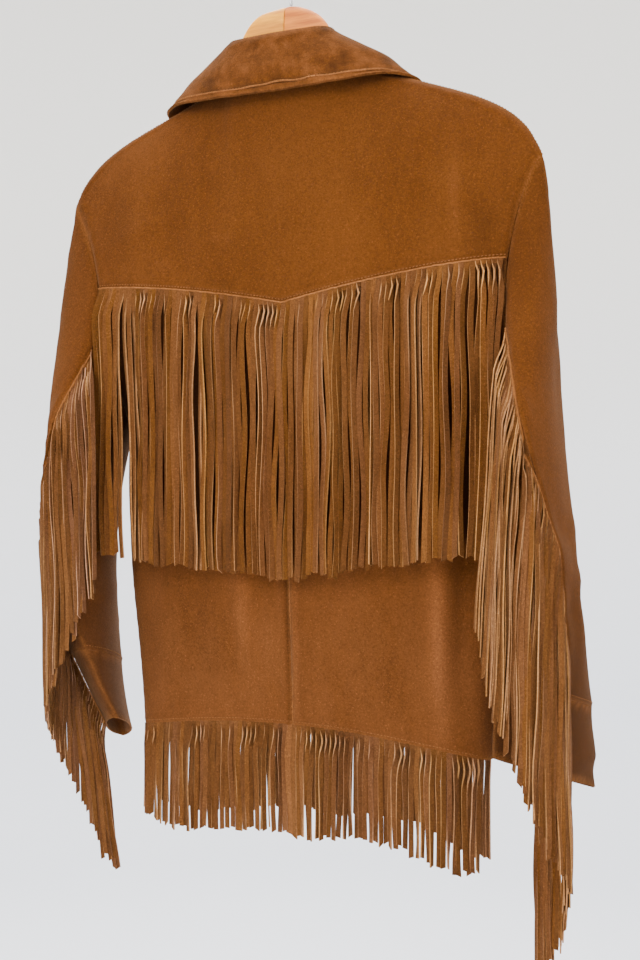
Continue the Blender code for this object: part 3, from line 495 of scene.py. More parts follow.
SLEEVE_FOLDS = [   # path (degrees round, up)
    ([(60, -0.330), (90, -0.420), (100, -0.500)], 0.014, -0.0020),
    ([(30, -0.300), (50, -0.400), (55, -0.480)], 0.016, 0.0020),
    ([(120, -0.560), (80, -0.585), (40, -0.600)], 0.011, -0.0026),
    ([(110, -0.600), (75, -0.618), (45, -0.622)], 0.010, 0.0022),
    ([(140, -0.640), (100, -0.650), (60, -0.640)], 0.012, -0.0020),
    ([(70, -0.520), (62, -0.620), (66, -0.720)], 0.010, 0.0024),
    ([(200, -0.480), (230, -0.520), (270, -0.535)], 0.012, -0.0028),
    ([(190, -0.580), (240, -0.600), (290, -0.590)], 0.011, -0.0026),
    ([(210, -0.640), (250, -0.655), (300, -0.650)], 0.011, 0.0022)]
SLEEVE_FOLDS = [([(round_ * AROUND, up) for round_, up in path], breadth, rise)
                for path, breadth, rise in SLEEVE_FOLDS]
print("folds:", len(BACK_FOLDS) + len(FRONT_FOLDS) + len(SLEEVE_FOLDS))

# %% [markdown]
# ## Wear, painted light and drape
#
# Suede pales where it is rubbed, and each panel's nap has lighter, darker and dusty spots of its own.
# Many spots are painted light: highlights along fold ridges and the centre back seam, and shade
# beside folds, near the wearer's right armhole, on the sleeves, at the cuffs and under the yoke's
# fringe. Cut edges sink into their seams with a swell beside them. The empty sleeves stand out at
# their outer sides.

# %% Tables for the nap and the drape
YOKE_BOTTOM = np.array([   # across, height of the strands' ends
    (-0.205, -0.603), (-0.188, -0.602), (-0.155, -0.603), (-0.127, -0.610), (-0.092, -0.611),
    (-0.060, -0.622), (-0.032, -0.622), (-0.017, -0.627), (0.0, -0.628), (0.024, -0.625),
    (0.060, -0.622), (0.110, -0.618), (0.137, -0.618), (0.173, -0.615), (0.205, -0.608)])
# Many spots are painted light: highlights along the lower back's fold ridges, beside the centre back
# seam and in a streak by the wearer's right armhole, and shade beside those folds, in the seam, by
# that armhole, on the sleeves and at the cuffs. The others are the hide's own tone.
NAP_AND_PAINTED_LIGHT_SPOTS = {   # across, height, reach across and up, lighter (+) or darker (-), dust
    "back": [(0.0, -0.740, 0.500, 0.150, 0.32, 0.7), (-0.173, -0.275, 0.006, 0.035, 0.20, 0.2),
             (-0.198, -0.305, 0.016, 0.030, -0.22, 0.0), (-0.080, -0.310, 0.055, 0.040, 0.10, 0.0),
             (0.120, -0.300, 0.050, 0.040, 0.08, 0.1), (-0.110, -0.180, 0.060, 0.060, -0.06, 0.0),
             (0.020, -0.200, 0.080, 0.060, -0.05, 0.0), (0.052, -0.650, 0.012, 0.065, 0.50, 0.3),
             (0.030, -0.690, 0.016, 0.060, 0.14, 0.2), (-0.0065, -0.680, 0.0040, 0.110, 0.45, 0.3),
             (0.0020, -0.680, 0.0022, 0.110, -0.55, 0.0), (0.140, -0.680, 0.030, 0.080, -0.10, 0.2),
             (-0.090, -0.700, 0.040, 0.060, -0.08, 0.0), (-0.151, -0.680, 0.008, 0.085, 0.70, 0.4),
             (-0.060, -0.640, 0.030, 0.040, 0.10, 0.1), (0.095, -0.700, 0.022, 0.060, -0.12, 0.1),
             (-0.184, -0.700, 0.016, 0.090, -0.05, 0.0), (0.064, -0.293, 0.012, 0.003, 0.20, 0.3),
             (0.135, -0.313, 0.010, 0.008, 0.16, 0.2), (0.185, -0.270, 0.014, 0.050, -0.15, 0.0),
             (-0.170, -0.660, 0.014, 0.060, -0.12, 0.0), (-0.130, -0.660, 0.014, 0.060, -0.12, 0.0)],
    "front": [(0.0, -0.760, 0.500, 0.160, 0.12, 0.5)],
    "left": [(0.240, -0.720, 0.060, 0.110, -0.16, 1.2), (0.235, -0.790, 0.070, 0.080, -0.10, 0.4),
             (0.240, -0.340, 0.060, 0.140, -0.12, 0.1)],
    "right": [(-0.250, -0.770, 0.090, 0.150, -0.50, 0.0), (-0.240, -0.280, 0.060, 0.150, -0.11, 0.0)],
    "under": [(0.225, -0.480, 0.050, 0.070, -0.40, 0.0)], "collar": []}
UNDER_FRINGE_SHADE = 0.32        # painted shade: how dark the lower back is drawn where the yoke's fringe hangs over it
WEAR_REACH = 0.0016
SEAM_DIP, SEAM_SWELL = 0.0007, 0.0009      # how a sewn edge sinks, and swells beside the seam
CUFF_TIP, TIP_SHARE = 0.838, 0.45          # below this depth the cuffs are drawn up by a share
OUTWARD = {   # how far each sleeve's outer side stands out, height by height
    "left": np.array([
        (-0.200, 0.0), (-0.228, 0.0024), (-0.260, 0.0095), (-0.292, 0.0165), (-0.324, 0.0205),
        (-0.356, 0.0220), (-0.388, 0.0200), (-0.420, 0.0150), (-0.4525, 0.0080),
        (-0.485, 0.0020), (-0.520, 0.0)]),
    "right": np.array([
        (-0.225, 0.0), (-0.245, 0.0040), (-0.260, 0.0055), (-0.370, 0.0050), (-0.392, 0.0040),
        (-0.419, 0.0020), (-0.446, 0.0), (-0.560, 0.0), (-0.592, 0.0028), (-0.608, 0.0),
        (-0.620, 0.0), (-0.674, 0.0030), (-0.800, 0.0025), (-0.900, 0.0)])}
SIGN = {"left": 1.0, "right": -1.0}
print("nap spots:", sum(len(rows) for rows in NAP_AND_PAINTED_LIGHT_SPOTS.values()))


# %% Work on a shell's edges, drape and nap
def point_tree(points):
    tree = KDTree(len(points))
    for k, point in enumerate(points):
        tree.insert(point, k)
    tree.balance()
    return tree


def sew_edges(piece, edge_points, out_of):
    """Sink a shell's cut edges into their seams and swell the cloth just beside them."""
    at, tree = points_of(piece), point_tree(edge_points)
    away = np.array([tree.find(point)[2] for point in at])
    uneven = 1.0 + 0.35 * np.sin(at[:, 2] * 310.0 + at[:, 0] * 190.0)
    lift = -SEAM_DIP * np.exp(-(away / 0.0022) ** 2)
    lift += SEAM_SWELL * uneven * np.exp(-((away - 0.0065) / 0.0035) ** 2)
    set_points(piece, at + out_of(at) * lift[:, None])
    return away


def fill_out(piece):
    """Let the sleeves' outer sides stand out, with the cloth that is sewn to them."""
    at = points_of(piece)
    middle = read(SLEEVE_AXIS, at[:, 2])
    for side, sign in SIGN.items():
        share = smooth((sign * at[:, 0] - middle + 0.004) / 0.024)
        at[:, 0] += sign * share * read(OUTWARD[side], at[:, 2])
    at[:, 2] += TIP_SHARE * np.clip(-at[:, 2] - CUFF_TIP, 0.0, 0.05)
    if piece.name.endswith("cuff_right"):      # its lower corner is rounded off
        corner = smooth((-at[:, 2] - 0.794) / 0.024) * smooth((-at[:, 0] - 0.258) / 0.024)
        at += corner[:, None] * np.array((0.0055, 0.0, 0.002))
    set_points(piece, at)


def spots_of(node):
    """The rows of NAP_AND_PAINTED_LIGHT_SPOTS that a panel takes."""
    if "sleeve" in node or "cuff" in node:
        rows = NAP_AND_PAINTED_LIGHT_SPOTS[node.rsplit("_", 1)[1]]
        return rows + NAP_AND_PAINTED_LIGHT_SPOTS["under"] if "under" in node else rows
    return NAP_AND_PAINTED_LIGHT_SPOTS[node.split("_")[0]]


def relax(piece, away, times_over):
    """Even out a shell away from its edges, so that its outline runs in one sweep."""
    with editing(piece, away > 0.005):
        bpy.ops.mesh.vertices_smooth(factor=0.5, repeat=times_over)


def paint(piece, name, colours):
    """Store a colour at each point."""
    colours = np.asarray(colours, dtype=np.float32).ravel()
    piece.data.attributes.new(name, "FLOAT_COLOR", "POINT").data.foreach_set("color", colours)


def paint_nap_and_light(piece, away, node):
    """Store how worn each point is, and its tone: the hide's own lighter, darker and dusty spots,
    with painted highlights and painted shade.
    """
    at = points_of(piece)
    worn = np.exp(-(away / WEAR_REACH) ** 1.5)
    piece.data.attributes.new("seam_wear", "FLOAT", "POINT").data.foreach_set("value", worn)
    tone, dust = np.ones(len(at)), np.zeros(len(at))
    for across, up, wide, high, amount, dusty in spots_of(node):
        share = np.exp(-((at[:, 0] - across) / wide) ** 2 - ((at[:, 2] - up) / high) ** 2)
        tone += amount * share
        dust += dusty * share
    # Painted shade: the lower back is darkened where the yoke's fringe hangs over it.
    if node.startswith("back_lower"):
        above = at[:, 2] - read(YOKE_BOTTOM, at[:, 0])
        tone *= 1.0 - (1.0 - UNDER_FRINGE_SHADE) * smooth((above - 0.004) / 0.018)
    if node == "collar":
        spots = np.array([noise.noise(Vector(p) * 55.0) + 0.7 * noise.noise(Vector(p) * 150.0)
                          for p in at])
        tone += -0.10 + 0.50 * spots
        dust += np.clip(0.7 * spots, 0.0, 0.5)
    paint(piece, "nap_and_painted_light_tone", np.stack([tone, tone * (1.0 + 0.12 * dust),
                                       tone * (1.0 + 0.75 * dust), np.ones(len(at))], axis=1))


# %% Make the shells
EDGE_TURN = 52.0           # a cut edge turns more sharply than this


def cloth_shell(node, levels, folds, flat_of, out_of):
    piece = take_over(node, "suede_" + node)
    edge_points = crease_edges(piece, EDGE_TURN, 1.0)
    subdivide(piece, levels)
    away = sew_edges(piece, edge_points, out_of)
    if out_of is sleeve_out:
        relax(piece, away, 30)
    deepest = press(piece, folds, flat_of, out_of)
    paint_nap_and_light(piece, away, node)
    if node != "collar":
        fill_out(piece)
    piece.data.materials.append(SUEDE)
    declare(piece, 45, node)
    area = sum(face.area for face in piece.data.polygons) / 2
    size = np.ptp(points_of(piece), axis=0).round(3).tolist()
    print(f"{piece.name}: one side {area:.4f} m2, {size} m, folds to {deepest * 1000:.1f} mm")
    return piece


shells = {}
for node in ("back_yoke", "back_lower_left", "back_lower_right"):
    shells[node] = cloth_shell(node, 3, BACK_FOLDS, body_flat, body_out)
for node in ("front_left", "front_right"):
    shells[node] = cloth_shell(node, 2, FRONT_FOLDS, body_flat, body_out)
for side in SIGN:
    for part, levels in (("top_sleeve_", 3), ("under_sleeve_", 3), ("cuff_", 2)):
        shells[part + side] = cloth_shell(part + side, levels, SLEEVE_FOLDS, sleeve_flat,
                                          sleeve_out)
shells["collar"] = collar = cloth_shell("collar", 3, [], body_flat, body_out)
COLLAR_SHIFT = 0.0065      # the collar sits a little to the wearer's left
at = points_of(collar)
low_or_wide = (at[:, 2] + 0.150) / 0.030 + np.hypot(at[:, 0], at[:, 1]) / 0.09
at[:, 0] += COLLAR_SHIFT * smooth(low_or_wide)
at[:, 0] += 0.006 * smooth((-at[:, 0] - 0.010) / 0.040) * smooth((at[:, 2] + 0.125) / 0.030)
set_points(collar, at)

# %% [markdown]
# ## Laying things on the cloth
#
# Seams, stitches and fringe roots are given as rough lines and then settled on the nearest
# cloth, so that they follow every fold that was pressed in.

# %% Helpers for lines on the cloth
def tree_of(*nodes):
    """One search tree over the faces of several shells."""
    points, faces = [], []
    for node in nodes:
        start, mesh = len(points), shells[node].data
        points += [v.co.copy() for v in mesh.vertices]
        faces += [tuple(start + k for k in face.vertices) for face in mesh.polygons]
    return BVHTree.FromPolygons(points, faces)


def spaced(path, pitch):
    """Points at an even pitch along a line."""
    reached = np.concatenate([[0.0], np.cumsum(np.linalg.norm(np.diff(path, axis=0), axis=1))])
    count = max(2, int(round(reached[-1] / pitch)))
    targets = (np.arange(count) + 0.5) / count * reached[-1]
    return np.stack([np.interp(targets, reached, path[:, k]) for k in range(3)], axis=1)


def settled(path, tree, out_of):
    """Each point moved onto the outer face of the cloth, with the way out of it there."""
    places, outs = [], []
    for point, way in zip(path, out_of(path)):
        point, way = Vector(point), Vector(way)
        found, normal, _, _ = tree.ray_cast(point + way * 0.015, -way, 0.03)
        if found is None:
            found, normal, _, _ = tree.find_nearest(point + way * 0.003)
        places.append(found)
        outs.append(normal if normal.dot(way) > 0 else -normal)
    return np.array(places), np.array(outs)


def along_line(places):
    """Unit directions along a row of points."""
    return unit(np.gradient(places, axis=0))


STITCH_PITCH = 0.0034


def beside(line, out_of, tree, offset=0.0, pitch=STITCH_PITCH):
    """A row of places beside a line, settled on the cloth, with the ways out there."""
    places = spaced(line, pitch)
    across_ = unit(np.cross(out_of(places), along_line(places)))
    return settled(places + across_ * offset, tree, out_of)


def raised(line, height):
    return line + np.array((0.0, 0.0, height))


def rounded(u, power=2.6):
    return np.maximum(0.0, 1.0 - np.abs(u) ** power) ** (1.0 / power)


def yoke_seam(reach):
    """The pointed seam across the back, where 1 would reach both armholes."""
    u = np.linspace(-reach, reach, 240)
    return np.stack([0.2196 * u, 0.0097 + 0.0103 * rounded(u),
                     -0.3315 - 0.0285 * (1.0 - np.abs(u)) ** 1.6], axis=1)


def hem_line(first, last, centre_y, count=160):
    """The hem, from -1 at the wearer's right to 1."""
    u = np.linspace(first, last, count)
    return np.stack([0.1925 * u, -0.045 + (centre_y + 0.045) * rounded(u),
                     -0.775 - 0.022 * u * u], axis=1)


# %% [markdown]
# ## Fringe
#
# Fringe is cut from a strip of suede, strand by strand, and each strand twists and leans
# in its own way. All the strands of one fringe are joined in one mesh, made from arrays:
# a flat cross section travels down each strand's line and turns as it goes. The broad
# faces are napped, and the narrow ones show the pale cut edge.

# %% The strand maker
STEPS = 22
ROOT_SPREAD = 0.003        # how far below its root a strand is still joined to the next
PLUMB_SPAN = 0.25          # the fall at which a strand has reached its lower place


def row_waves(places, wave, weights=(0.6, 0.4, 0.3)):
    """A slow wandering value along a row of roots, so that neighbours move together."""
    run = np.concatenate([[0.0], np.cumsum(np.linalg.norm(np.diff(places, axis=0), axis=1))])
    total = np.zeros(len(places))
    for weight in weights:
        total += weight * np.sin(2 * np.pi * run / wave + rng.uniform(0.0, 6.28))
        wave *= 0.41
    return total


def strand_line(root, out, hang, low, length, turn_fall, lift):
    """One strand's middle line and how far it has turned down, before it sways."""
    share = np.linspace(0.0, 1.0, STEPS + 1) ** 1.35
    fall = length * share
    turned = smooth(fall / turn_fall)[:, None]
    plumb = hang + (low - hang) * (fall / PLUMB_SPAN)[:, None]
    level = root[:2] + out[:2] * lift
    flat = level + (plumb - level) * turned
    return np.column_stack([flat, root[2] - fall]), fall, turned


# %% Join a fringe's strands
def strands(name, node, roots, sides, outs, hang, low, hang_sides, lengths, widths, pitch,
            turn_fall, lean, root_twist, sway, thick=0.0016, lift=0.0, calm=0.25,
            facing=0.50, tone_at=None, dust=0.0):
    """Join many strands: each leaves its root flat, twists, and hangs with its own sway."""
    count = len(roots)
    wave, beat = rng.uniform(0.0, 6.28, (count, 3)), rng.uniform(0.10, 0.24, count)
    mid_twist, mid_at = rng.normal(0.0, calm, count), rng.uniform(0.06, 0.16, count)
    end_twist, slant = rng.normal(0.0, calm, count), rng.normal(0.0, 0.0010, count)
    root_at, slow = rng.uniform(0.010, 0.015, count), row_waves(roots, 0.16)
    points, faces = [], []
    hue, shade = rng.uniform(0.0, 1.0, count), rng.uniform(0.74, 1.20, count)
    tone_at = np.ones(count) if tone_at is None else tone_at
    flat_ones = np.flatnonzero(tone_at > 1.3)
    shade = np.where(tone_at > 1.3, tone_at, shade * tone_at)
    turn = facing * np.clip(3.0 * (row_waves(roots, 0.11) + 0.45), -1.0, 1.0)
    turn += rng.normal(0.0, 0.16, count)
    for angles in (turn, mid_twist, end_twist, root_twist):
        angles[flat_ones] = 0.0
    for k in range(count):
        line, fall, turned = strand_line(roots[k], outs[k], hang[k], low[k], lengths[k],
                                         turn_fall[k], lift)
        hung = np.append(hang_sides[k][:2], 0.0)
        away = np.cross(hung, (0.0, 0.0, 1.0))
        away *= 1.0 if away @ outs[k] > 0 else -1.0
        freed = smooth(fall / 0.045)
        swing = lean[k] * smooth(fall / 0.035)
        swing += sway * freed * (np.sin(6.28 * fall / beat[k] + wave[k, 0]) * 0.6
                                 + np.sin(6.28 * fall / 0.37 + wave[k, 1]) * 0.5
                                 + np.sin(6.28 * fall / 0.21 + 2.2 * slow[k]) * 0.8)
        deep_sway = 0.0008 * freed * np.sin(6.28 * fall / 0.16 + wave[k, 2])
        line += hung * swing[:, None] + away * deep_sway[:, None]
        wide = unit(sides[k] * (1.0 - turned) + hung * turned)
        deep = unit(outs[k] * (1.0 - turned) + away * turned)
        angle = root_twist[k] * np.exp(-((fall - root_at[k]) / 0.010) ** 2)
        angle += turn[k] * smooth((fall - 0.002) / 0.008)
        angle += mid_twist[k] * np.exp(-((fall - mid_at[k]) / 0.035) ** 2)
        angle += end_twist[k] * smooth((fall - 0.5 * lengths[k]) / (0.5 * lengths[k]))
        angle = angle[:, None]
        wide, deep = (wide * np.cos(angle) + deep * np.sin(angle),
                      deep * np.cos(angle) - wide * np.sin(angle))
        half = (widths[k] + (pitch * 1.04 - widths[k]) * (1.0 - smooth(fall / ROOT_SPREAD))) / 2
        for a, b in ((-1, 1), (1, 1), (1, -1), (-1, -1)):
            corner = line + wide * (half * a)[:, None] + deep * (thick / 2 * b)
            corner[-1, 2] += a * slant[k]
            points.append(corner)
        first, last = k * 4 * (STEPS + 1), k * 4 * (STEPS + 1) + 4 * STEPS
        faces += tube_faces(first, STEPS + 1, 4)
        faces += [range(first + 3, first - 1, -1), range(last, last + 4)]
    rings = np.array(points).reshape(count, 4, STEPS + 1, 3).transpose(0, 2, 1, 3)
    piece = build(name, rings.reshape(-1, 3), faces, (STRAND_FACE, CUT_EDGE),
                  [0, 1] * (len(faces) // 2))
    tints = np.column_stack([shade * (1.0 + 0.05 * hue - 0.04 * dust), shade * (1.0 + 0.04 * dust),
                             shade * (1.18 - 0.45 * hue) * (1.0 + 0.4 * dust), np.ones(count)])
    paint(piece, "strand_tone", np.repeat(tints, 4 * (STEPS + 1), axis=0))
    print(f"{name}: {count} strands, {len(faces) * 2} triangles")
    return declare(piece, 35, node)


def twists(places, most):
    """How far each strand turns below its root: neighbours turn together, and some lie flat."""
    slow = row_waves(places, 0.075)
    return most * np.clip(0.50 + 0.9 * slow, -0.35, 1.0) + rng.normal(0.0, 0.18, len(places))


# %% Fringe under the yoke
back_tree = tree_of("back_yoke", "back_lower_left", "back_lower_right")
yoke_tree = tree_of("back_yoke")
YOKE_SPREAD = np.array([   # across at the root, across where the strand ends
    (-0.215, -0.207), (-0.190, -0.186), (-0.150, -0.149), (0.0, 0.0), (0.150, 0.147),
    (0.180, 0.170), (0.186, 0.184), (0.200, 0.197), (0.215, 0.209)])
YOKE_PITCH = 0.0050
UNDER_EDGE = 0.0020


def seat_under(line, tree):
    """Places on the cloth a little above its lower edge, brought back down to that edge."""
    return raised(settled(raised(line, UNDER_EDGE), tree, body_out)[0], -UNDER_EDGE)


roots = seat_under(spaced(yoke_seam(0.985), YOKE_PITCH), yoke_tree)
outs = body_out(roots)
roots += outs * 0.0008
bulge = []
for root in roots:
    behind = [back_tree.ray_cast(Vector((root[0], 0.2, root[2] - drop)), Vector((0, -1, 0)))[0]
              for drop in (0.02, 0.05, 0.09, 0.14)]
    bulge.append(max([p.y for p in behind if p] + [root[1]]))
count = len(roots)
layer = 0.0030 + 0.0020 * (np.arange(count) % 2)
layer += 0.0014 * np.clip(row_waves(roots, 0.05), -1, 1)
hang = np.column_stack([roots[:, 0], bulge + layer])
low = np.column_stack([read(YOKE_SPREAD, roots[:, 0]), hang[:, 1]])
lengths = roots[:, 2] - read(YOKE_BOTTOM, low[:, 0]) + rng.normal(0.0, 0.0018, count)
lean = 0.0012 + 0.0016 * row_waves(roots, 0.09)
lean[:6], lean[-6:] = -0.0035, 0.0040
yoke_fringe = strands("yoke_strands", "yoke_fringe", roots, along_line(roots), outs, hang, low,
                      np.tile((1.0, 0.0, 0.0), (count, 1)), lengths,
                      rng.uniform(0.0045, 0.0052, count), YOKE_PITCH, np.full(count, 0.03),
                      lean, twists(roots, 1.20), sway=0.0015)

# %% Fringe under the hem
HEM_BOTTOM = np.array([   # across, height of the strands' ends
    (-0.199, -0.892), (-0.183, -0.900), (-0.165, -0.903), (-0.142, -0.896), (-0.117, -0.884),
    (-0.078, -0.876), (-0.033, -0.882), (0.0, -0.885), (0.022, -0.879), (0.068, -0.885),
    (0.124, -0.894), (0.147, -0.895), (0.167, -0.891), (0.190, -0.888)])
HEM_PITCH = 0.0051


def hem_fringe(end, first, last, centre_y, *nodes):
    roots = seat_under(spaced(hem_line(first, last, centre_y), HEM_PITCH), tree_of(*nodes))
    outs = body_out(roots)
    roots = raised(roots, 0.0012) - outs * 0.0009
    count = len(roots)
    hang = roots[:, :2] + outs[:, :2] * (0.0012 * (np.arange(count) % 2)
                                         + rng.uniform(-0.0004, 0.0012, count))[:, None]
    lengths = roots[:, 2] - read(HEM_BOTTOM, roots[:, 0])
    lengths += rng.normal(0.0, 0.0018, count)
    sides = unit(along_line(roots) * (1.0, 1.0, 0.0))
    lean = 0.0012 + 0.0014 * row_waves(roots, 0.08)
    widths, tones = rng.uniform(0.0044, 0.0050, count), np.ones(count)
    if end == "back":      # the strand at its centre is broad, pale and flat
        widths[count // 2], tones[count // 2] = 0.0088, 1.50
        most, loose = 1.1, dict(sway=0.0011, calm=0.50, facing=0.46)
    else:
        widths += 0.0003
        most, loose = 0.4, dict(sway=0.0008, calm=0.15, facing=0.0)
    return strands("hem_strands_" + end, "hem_fringe_" + end, roots, sides, outs, hang, hang,
                   sides, lengths, widths, HEM_PITCH, np.full(count, 0.03),
                   lean * np.sign(sides[:, 0]), twists(roots, most), tone_at=tones, dust=0.5,
                   **loose)


BACK_Y, LEFT_Y, RIGHT_Y = -0.003, -0.090, -0.087      # how deep each hem lies at the centre
hem_back = hem_fringe("back", -0.97, 0.97, BACK_Y, "back_lower_left", "back_lower_right")
hem_left = hem_fringe("front_left", -0.07, 0.965, LEFT_Y, "front_left")
hem_right = hem_fringe("front_right", -0.965, 0.07, RIGHT_Y, "front_right")

# %% Fringe down the sleeves
SLEEVE_SEAM = np.array([   # the seam's line on the left sleeve: x, y, height
    (0.2205, 0.0195, -0.3950), (0.2262, 0.0320, -0.4180), (0.2410, 0.0603, -0.4700),
    (0.2550, 0.0605, -0.5200), (0.2676, 0.0348, -0.5800), (0.2724, 0.0136, -0.6400),
    (0.2673, 0.0000, -0.7000), (0.2613, -0.0018, -0.7280), (0.2494, -0.0093, -0.7700),
    (0.2350, -0.0240, -0.8060)])
SLEEVE_FALL = {   # root height, where it hangs, where it is a quarter metre lower, length
    "left": np.array([
        (-0.393, 0.207, 0.038, 0.198, 0.042, 0.245), (-0.430, 0.222, 0.054, 0.214, 0.056, 0.247),
        (-0.470, 0.236, 0.066, 0.231, 0.066, 0.256),
        (-0.520, 0.2505, 0.067, 0.2455, 0.067, 0.240),
        (-0.580, 0.272, 0.044, 0.260, 0.044, 0.205), (-0.640, 0.272, 0.024, 0.262, 0.026, 0.168),
        (-0.700, 0.264, 0.009, 0.252, 0.012, 0.140), (-0.728, 0.256, 0.006, 0.236, 0.009, 0.140),
        (-0.770, 0.243, 0.000, 0.198, 0.006, 0.158),
        (-0.810, 0.229, -0.014, 0.176, -0.004, 0.142)]),
    "right": np.array([
        (-0.393, 0.216, 0.030, 0.200, 0.040, 0.265), (-0.430, 0.226, 0.052, 0.213, 0.060, 0.268),
        (-0.470, 0.237, 0.071, 0.226, 0.074, 0.268), (-0.520, 0.256, 0.071, 0.248, 0.073, 0.267),
        (-0.580, 0.268, 0.052, 0.266, 0.052, 0.265),
        (-0.640, 0.2775, 0.0285, 0.2805, 0.028, 0.242),
        (-0.700, 0.274, 0.012, 0.272, 0.014, 0.223), (-0.728, 0.266, 0.010, 0.264, 0.010, 0.217),
        (-0.770, 0.253, 0.003, 0.250, 0.004, 0.198),
        (-0.810, 0.2385, -0.0135, 0.2375, -0.012, 0.165)])}
SLEEVE_PITCH = 0.0050


EASE = {"left": 1.8, "right": 3.0}         # how gently a strand leaves its root sideways
SLEEVE_DUST = {"left": 0.9, "right": 0.2}


def sleeve_line(side):
    return SLEEVE_SEAM * (SIGN[side], 1.0, 1.0)


def sleeve_fringe(side, tree):
    sign, table = SIGN[side], SLEEVE_FALL[side]
    roots, outs = settled(spaced(sleeve_line(side), SLEEVE_PITCH), tree, sleeve_out)
    count = len(roots)
    hang_x, hang_y, low_x, low_y, lengths = read(table, roots[:, 2], 1, 2, 3, 4, 5)
    slopes = np.column_stack([table[:, 0], np.gradient(table[:, 1:3], table[:, 0], axis=0)])
    slope_x, slope_y = read(slopes, roots[:, 2], 1, 2)
    hang_sides = -unit(np.column_stack([slope_x * sign, slope_y]))
    away = np.column_stack([-hang_sides[:, 1], hang_sides[:, 0]]) * -sign
    layer = 0.0012 * (np.arange(count) % 2) + rng.normal(0.0, 0.0005, count)
    hang, low = (np.column_stack([x * sign, y]) + away * layer[:, None]
                 for x, y in ((hang_x, hang_y), (low_x, low_y)))
    lengths = lengths + rng.normal(0.0, 0.0035, count)
    reach = np.linalg.norm(hang - roots[:, :2], axis=1)
    widths = rng.uniform(0.0037, 0.0045, count)
    turn_fall = np.maximum(rng.uniform(0.012, 0.018, count), EASE[side] * reach)
    lean, root_twist = rng.normal(0.0, 0.0010, count), rng.normal(0.0, 0.4, count)
    return strands("sleeve_strands_" + side, "sleeve_fringe_" + side, roots, along_line(roots),
                   outs, hang, low, hang_sides, lengths, widths, SLEEVE_PITCH * 0.7, turn_fall,
                   lean, root_twist, sway=0.0016, lift=0.0009, calm=0.30, facing=0.34,
                   thick=0.0012, dust=SLEEVE_DUST[side])


sleeve_trees = {side: tree_of("top_sleeve_" + side, "under_sleeve_" + side, "cuff_" + side)
                for side in SIGN}
sleeve_fringes = {side: sleeve_fringe(side, tree) for side, tree in sleeve_trees.items()}

# %% [markdown]
# ## Seams and stitches
#
# The yoke, collar, fronts, shoulders, hem and cuffs are topstitched with tan thread a few
# millimetres from the edge. Raw edges of hide stand up as narrow strips over the roots of
# the yoke's and sleeves' fringe, along the centre back and round the collar. A seam's line
# is found where two shells nearly touch. A stitch is a short grain of thread, raised in
# its middle and sunk at its ends, and each row is one joined mesh.

# %% The thread and the sewn strips
def meeting_line(first, other, out_of, near=0.0016):
    """The outer line of one shell where it meets another, ordered from its top."""
    rest = point_tree([vertex.co for vertex in shells[other].data.vertices])
    close = np.array([p for p in points_of(shells[first]) if rest.find(p)[2] < near])
    out = out_of(close)
    left = []
    for point, way in zip(close, out):
        offset = close - point
        distance = np.linalg.norm(offset, axis=1)
        if not ((distance < 0.0035) & (offset @ way > 0.0005)).any():
            left.append(point)
    line = [left.pop(max(range(len(left)), key=lambda k: left[k][2]))]
    while left:
        distance = np.linalg.norm(np.array(left) - line[-1], axis=1)
        if distance.min() > 0.05:
            break
        line.append(left.pop(int(distance.argmin())))
    line = np.array(line)
    for _ in range(2):
        line[1:-1] = (line[:-2] + 2 * line[1:-1] + line[2:]) / 4
    return line


STITCH_LONG, STITCH_WIDE, STITCH_SINK = 0.0025, 0.0009, 0.0004
STITCH_RINGS = ((-0.30, 0.00012, 0.8), (0.0, 0.00028, 1.0), (0.30, 0.00012, 0.8))


def thread_rows(name, rows):
    """Join all the stitches of several rows into one mesh."""
    points, faces = [], []
    for places, outs in rows:
        along = along_line(places)
        slant = rng.normal(0.0, 0.10, len(places))
        size = rng.uniform(0.92, 1.08, len(places))
        gaps = np.linalg.norm(np.diff(places, axis=0, prepend=places[:1]), axis=1)
        for k in np.flatnonzero(gaps <= 0.012):
            place, out, start = places[k], outs[k], len(points)
            wide = unit(np.cross(out, along[k]))
            run = unit(along[k] + wide * slant[k]) * STITCH_LONG * size[k]
            points.append(place - run / 2 - out * STITCH_SINK)
            for share, high, fat in STITCH_RINGS:      # share of its length, height, fatness
                points += [place + run * share + out * high
                           + (wide * a + out * b * 0.7) * STITCH_WIDE / 2 * fat
                           for a, b in ((1, 0), (0, 1), (-1, 0), (0, -1))]
            points.append(place + run / 2 - out * STITCH_SINK)
            faces += tube_faces(start + 1, 3, 4)
            for m, n in ((0, 1), (1, 2), (2, 3), (3, 0)):
                faces += [(start, start + 1 + n, start + 1 + m),
                          (start + 13, start + 9 + m, start + 9 + n)]
    print(f"{name}: {len(points) // 14} stitches")
    return declare(build(name, points, faces, (THREAD,)), 180)


def strip(name, places, outs, width, thick, sink=0.0004):
    """A narrow rounded strip of hide along a line, such as a seam's raised edge."""
    wide = unit(np.cross(outs, along_line(places)))
    uneven = 1.0 + rng.normal(0.0, 0.04, len(places))
    rounds = []
    for turn in range(8):
        a, b = (math.copysign(abs(part) ** 0.6, part)
                for part in (math.cos(turn * math.pi / 4), math.sin(turn * math.pi / 4)))
        rounds.append(places + wide * (a * width / 2 * uneven)[:, None]
                      + outs * (b * thick / 2 + thick / 2 - sink))
    points = np.stack(rounds, axis=1).reshape(-1, 3)
    faces = tube_faces(0, len(places), 8)
    faces += [range(7, -1, -1), range(len(points) - 8, len(points))]
    return declare(build(name, points, faces, (SEAM_EDGE,)), 50)


